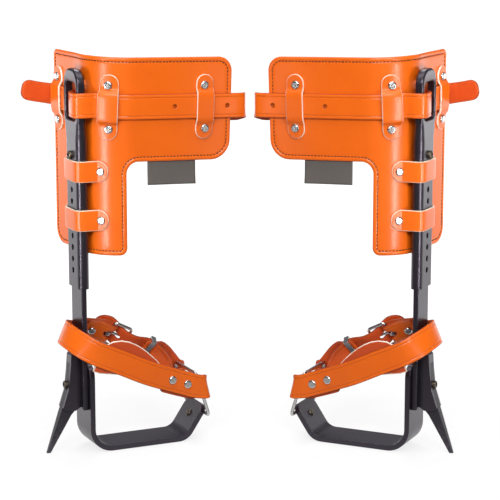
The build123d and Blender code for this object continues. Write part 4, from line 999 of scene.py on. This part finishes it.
foot_up = Vector((sin(FOOT_SLOPE), 0.0, cos(FOOT_SLOPE)))
foot_out = foot_up * sin(FOOT_TILT) + Vector((0.0, cos(FOOT_TILT), 0.0))
foot_seat = Seat((42.0, 23.5, 123.5), foot_along, foot_out)
RING_LEAN = Vector((-tan(radians(13.0)), 0.0, 1.0))


def ring_fold(end, hand, low, high):
    """A strap's turn round one leg of the ring, from the layer inside the ring to the one outside it."""
    turned = []
    for share in (-1.0, -0.5, 0.0, 0.5, 1.0):
        x = end + POCKET_WRAP * cos(pi / 2 * share)
        y = hand * (RING_LEG + POCKET_WRAP * sin(pi / 2 * share))
        turned.append((x, y, low + (high - low) * (share + 1) / 2))
    return turned


def waisted(route, start, full, full_end, end):
    """A strap's carry with its upper edge cut back between knots, to clear the ring's corner in its fold."""
    start, full, full_end, end = (route.knot(k) for k in (start, full, full_end, end))

    def carry(run, across, lift):
        share = max(0.0, min((run - start) / (full - start), (end - run) / (end - full_end), 1.0))
        cut = RING_WAIST * share * share * (3 - 2 * share)
        kept = 1 - cut / (STRAP_WIDTH / 2)
        return route.carry(run, across * kept if across > 0.0 else across, lift)

    return carry


heel_knots = [(84.0, -33.7, 77.6), (94.0, -32.8, 73.7), (104.0, -31.8, 70.0), (112.5, -30.9, 67.0)]
heel_knots += [(118.0, -29.1, 64.8), (124.5, -RING_LEG + POCKET_WRAP, 63.4)]
heel_knots += ring_fold(POCKET_END, -1, 63.3, 64.0)
heel_knots += [(124.0, -RING_LEG - POCKET_WRAP, 65.8), (113.0, -34.4, 69.7), (94.0, -36.2, 77.0)]
heel_knots += [(65.0, -39.2, 88.5), (33.0, -40.4, 104.0), (3.0, -38.0, 118.0)]
heel_leans = [UP] * 5 + [UP.lerp(RING_LEAN, 0.4)] + [RING_LEAN] * 5 + [UP.lerp(RING_LEAN, 0.4)] + [UP] * 5
for x, y, z in ((-9.5, -28.5, 126.0), (-16.2, -12.5, 131.5), (-17.5, 4.0, 133.5), (-12.5, 18.5, 131.5)):
    heel_knots.append((x, y, z))
    heel_leans.append(UP - Vector((x, y, 0.0)).normalized() * tan(radians(23.0)))
heel_knots.append((-3.0, 28.0, 128.5))
heel_leans.append(UP - foot_seat.across)
heel_knots += foot_seat.places((-33.0, 13.0, 1.7), *buckle_fold(1.5, 7.0))
heel_leans += [-foot_seat.across] * (len(heel_knots) - len(heel_leans))
heel_route = Route(list(reversed(heel_knots)), list(reversed(heel_leans)))
rows = heel_route.rows()
last = len(heel_knots) - 1
heel_holes = [eye_slot(heel_route)]
heel_holes += [round_hole(heel_route.knot(last - k), 0.0, POCKET_RIVET_HOLE) for k in POCKET_RIVETS]
heel_band = cut_piece(
    strip_outline(rows, STRAP_WIDTH, STRAP_CORNER, STRAP_CORNER),
    heel_holes,
    [(u, v) for u in rows for v in STRAP_GRID],
    STRAP_THICK,
    creased_edge,
    flesh_edge,
    waisted(heel_route, last - 8, last - 6, last - 4, last - 2),
)
make_pair("heel_band", heel_band, strap_hide, "foot_iron", ["heel_strap"])

# The heel guard: a pear-shaped leaf of thick leather that keeps the heel strap off the ankle. It is cut
# from one piece and lies against the strap's inner face, and its raw edge is left pale.
GUARD_BACK = 5.0
GUARD_FRONT = 82.0
GUARD_SIDE = -25.0
GUARD_HALF = 20.0
GUARD_TIP = 2.5
GUARD_RISE = 7.5
GUARD_SAG = 16.0
GUARD_THICK = 2.5
GUARD_SUNK = 3.05
# The guard's dark red is partly painted shade, for the shade it sits in behind the heel strap.
GUARD_SHADED_RED = (0.62, 0.085, 0.018)
raw_edge = [(0.0, -0.8), (0.25, -0.25), (0.8, 0.0)]
spans = []
for run, place in list(zip(heel_route.run, heel_route.places))[::3]:
    reach = (place.x - GUARD_BACK) / (GUARD_FRONT - GUARD_BACK)
    if 0.0 < reach < 1.0 and place.y < GUARD_SIDE:
        half = max(GUARD_HALF * sin(pi * reach**0.52) ** 0.62, GUARD_TIP)
        rise = GUARD_RISE - GUARD_SAG * (1 - reach) ** 4
        spans.append((run, rise - half, rise + half))
guard_loop = [Vector((run, low)) for run, low, high in spans]
guard_loop += [Vector((run, high)) for run, low, high in reversed(spans)]
guard = cut_piece(
    guard_loop,
    [],
    [(run, v) for run, low, high in spans for v in range(-24, 28, 4)],
    GUARD_THICK,
    raw_edge,
    raw_edge,
    lambda run, across, lift: heel_route.carry(run, across, lift - GUARD_SUNK),
)
guard_hide = dyed_leather(
    "guard_leather",
    GUARD_SHADED_RED,
    (0.50, 0.060, 0.012),
    raw=(0.90, 0.76, 0.64),
    flesh=GUARD_SHADED_RED,
    raw_width=1.9,
)
make_pair("heel_guard", guard, guard_hide, "foot_iron", ["heel_pad"])

# The instep strap: a creased leather strap, coloured a darker, redder orange than the calf strap. It is
# looped round the ring, runs over the instep through the bright slide that holds its returned end, and goes
# up through the foot buckle, with its rounded tail past the prong.
instep_knots = foot_seat.places((45.0, 0.0, -1.65), (52.0, 0.0, -1.65), (58.0, 0.3, -1.65))
instep_leans = [-foot_seat.across] * 3
for place, across in (
    ((99.0, 22.3, 88.0), (0.52, -0.35, 0.78)),
    ((105.0, 22.6, 78.0), (0.6, -0.15, 0.78)),
    ((112.0, 22.6, 68.6), (0.45, 0.0, 0.9)),
    ((119.0, 25.0, 63.2), (0.2, 0.0, 1.0)),
    ((125.5, RING_LEG - POCKET_WRAP, 62.4), (-0.1, 0.0, 1.0)),
):
    instep_knots.append(place)
    instep_leans.append(across)
instep_knots += ring_fold(POCKET_END + 0.3, 1, 63.0, 64.6)
instep_leans += [RING_LEAN] * 5
for place, across in (
    ((125.5, RING_LEG + POCKET_WRAP, 68.6), (0.2, 0.0, 1.0)),
    ((117.0, RING_LEG + 3.25, 79.0), (0.6, -0.1, 0.8)),
    ((108.5, RING_LEG + 0.25, 89.0), (0.58, -0.3, 0.74)),
    ((101.0, RING_LEG - 2.45, 95.5), (0.48, -0.45, 0.74)),
):
    instep_knots.append(place)
    instep_leans.append(across)
first_over = len(instep_knots)
instep_knots += foot_seat.places(
    (58.0, 0.3, 1.65), (52.0, 0.0, 1.65), (44.0, 0.0, 0.65), (32.0, 0.0, -3.7), (22.0, 0.0, -3.9),
    (14.0, 0.0, -1.0), (7.0, -0.4, 4.6), (0.0, -1.4, 7.8), (-8.0, -3.0, 8.8), (-17.0, -5.6, 10.4),
)
instep_leans += [-foot_seat.across] * 10
instep_route = Route(instep_knots, instep_leans)
rows = instep_route.rows()
slot_start = instep_route.knot(first_over + 5) - 1.5
slot_end = instep_route.knot(first_over + 6) + 5.0
instep_band = cut_piece(
    strip_outline(rows, STRAP_WIDTH, STRAP_CORNER, STRAP_WIDTH / 2),
    [slot_hole(slot_start, slot_end, PRONG_SLOT)],
    [(u, v) for u in rows for v in STRAP_GRID],
    STRAP_THICK,
    creased_edge,
    flesh_edge,
    waisted(instep_route, 4, 6, 8, 10),
)
foot_hide = dyed_leather(
    "foot_leather",
    (0.78, 0.115, 0.006),
    (0.62, 0.078, 0.005),
    raw=(0.34, 0.05, 0.005),
    flesh=(0.66, 0.078, 0.008),
    crease_shade=0.55,
)
make_pair("instep_band", instep_band, foot_hide, "foot_iron", ["instep_strap"])
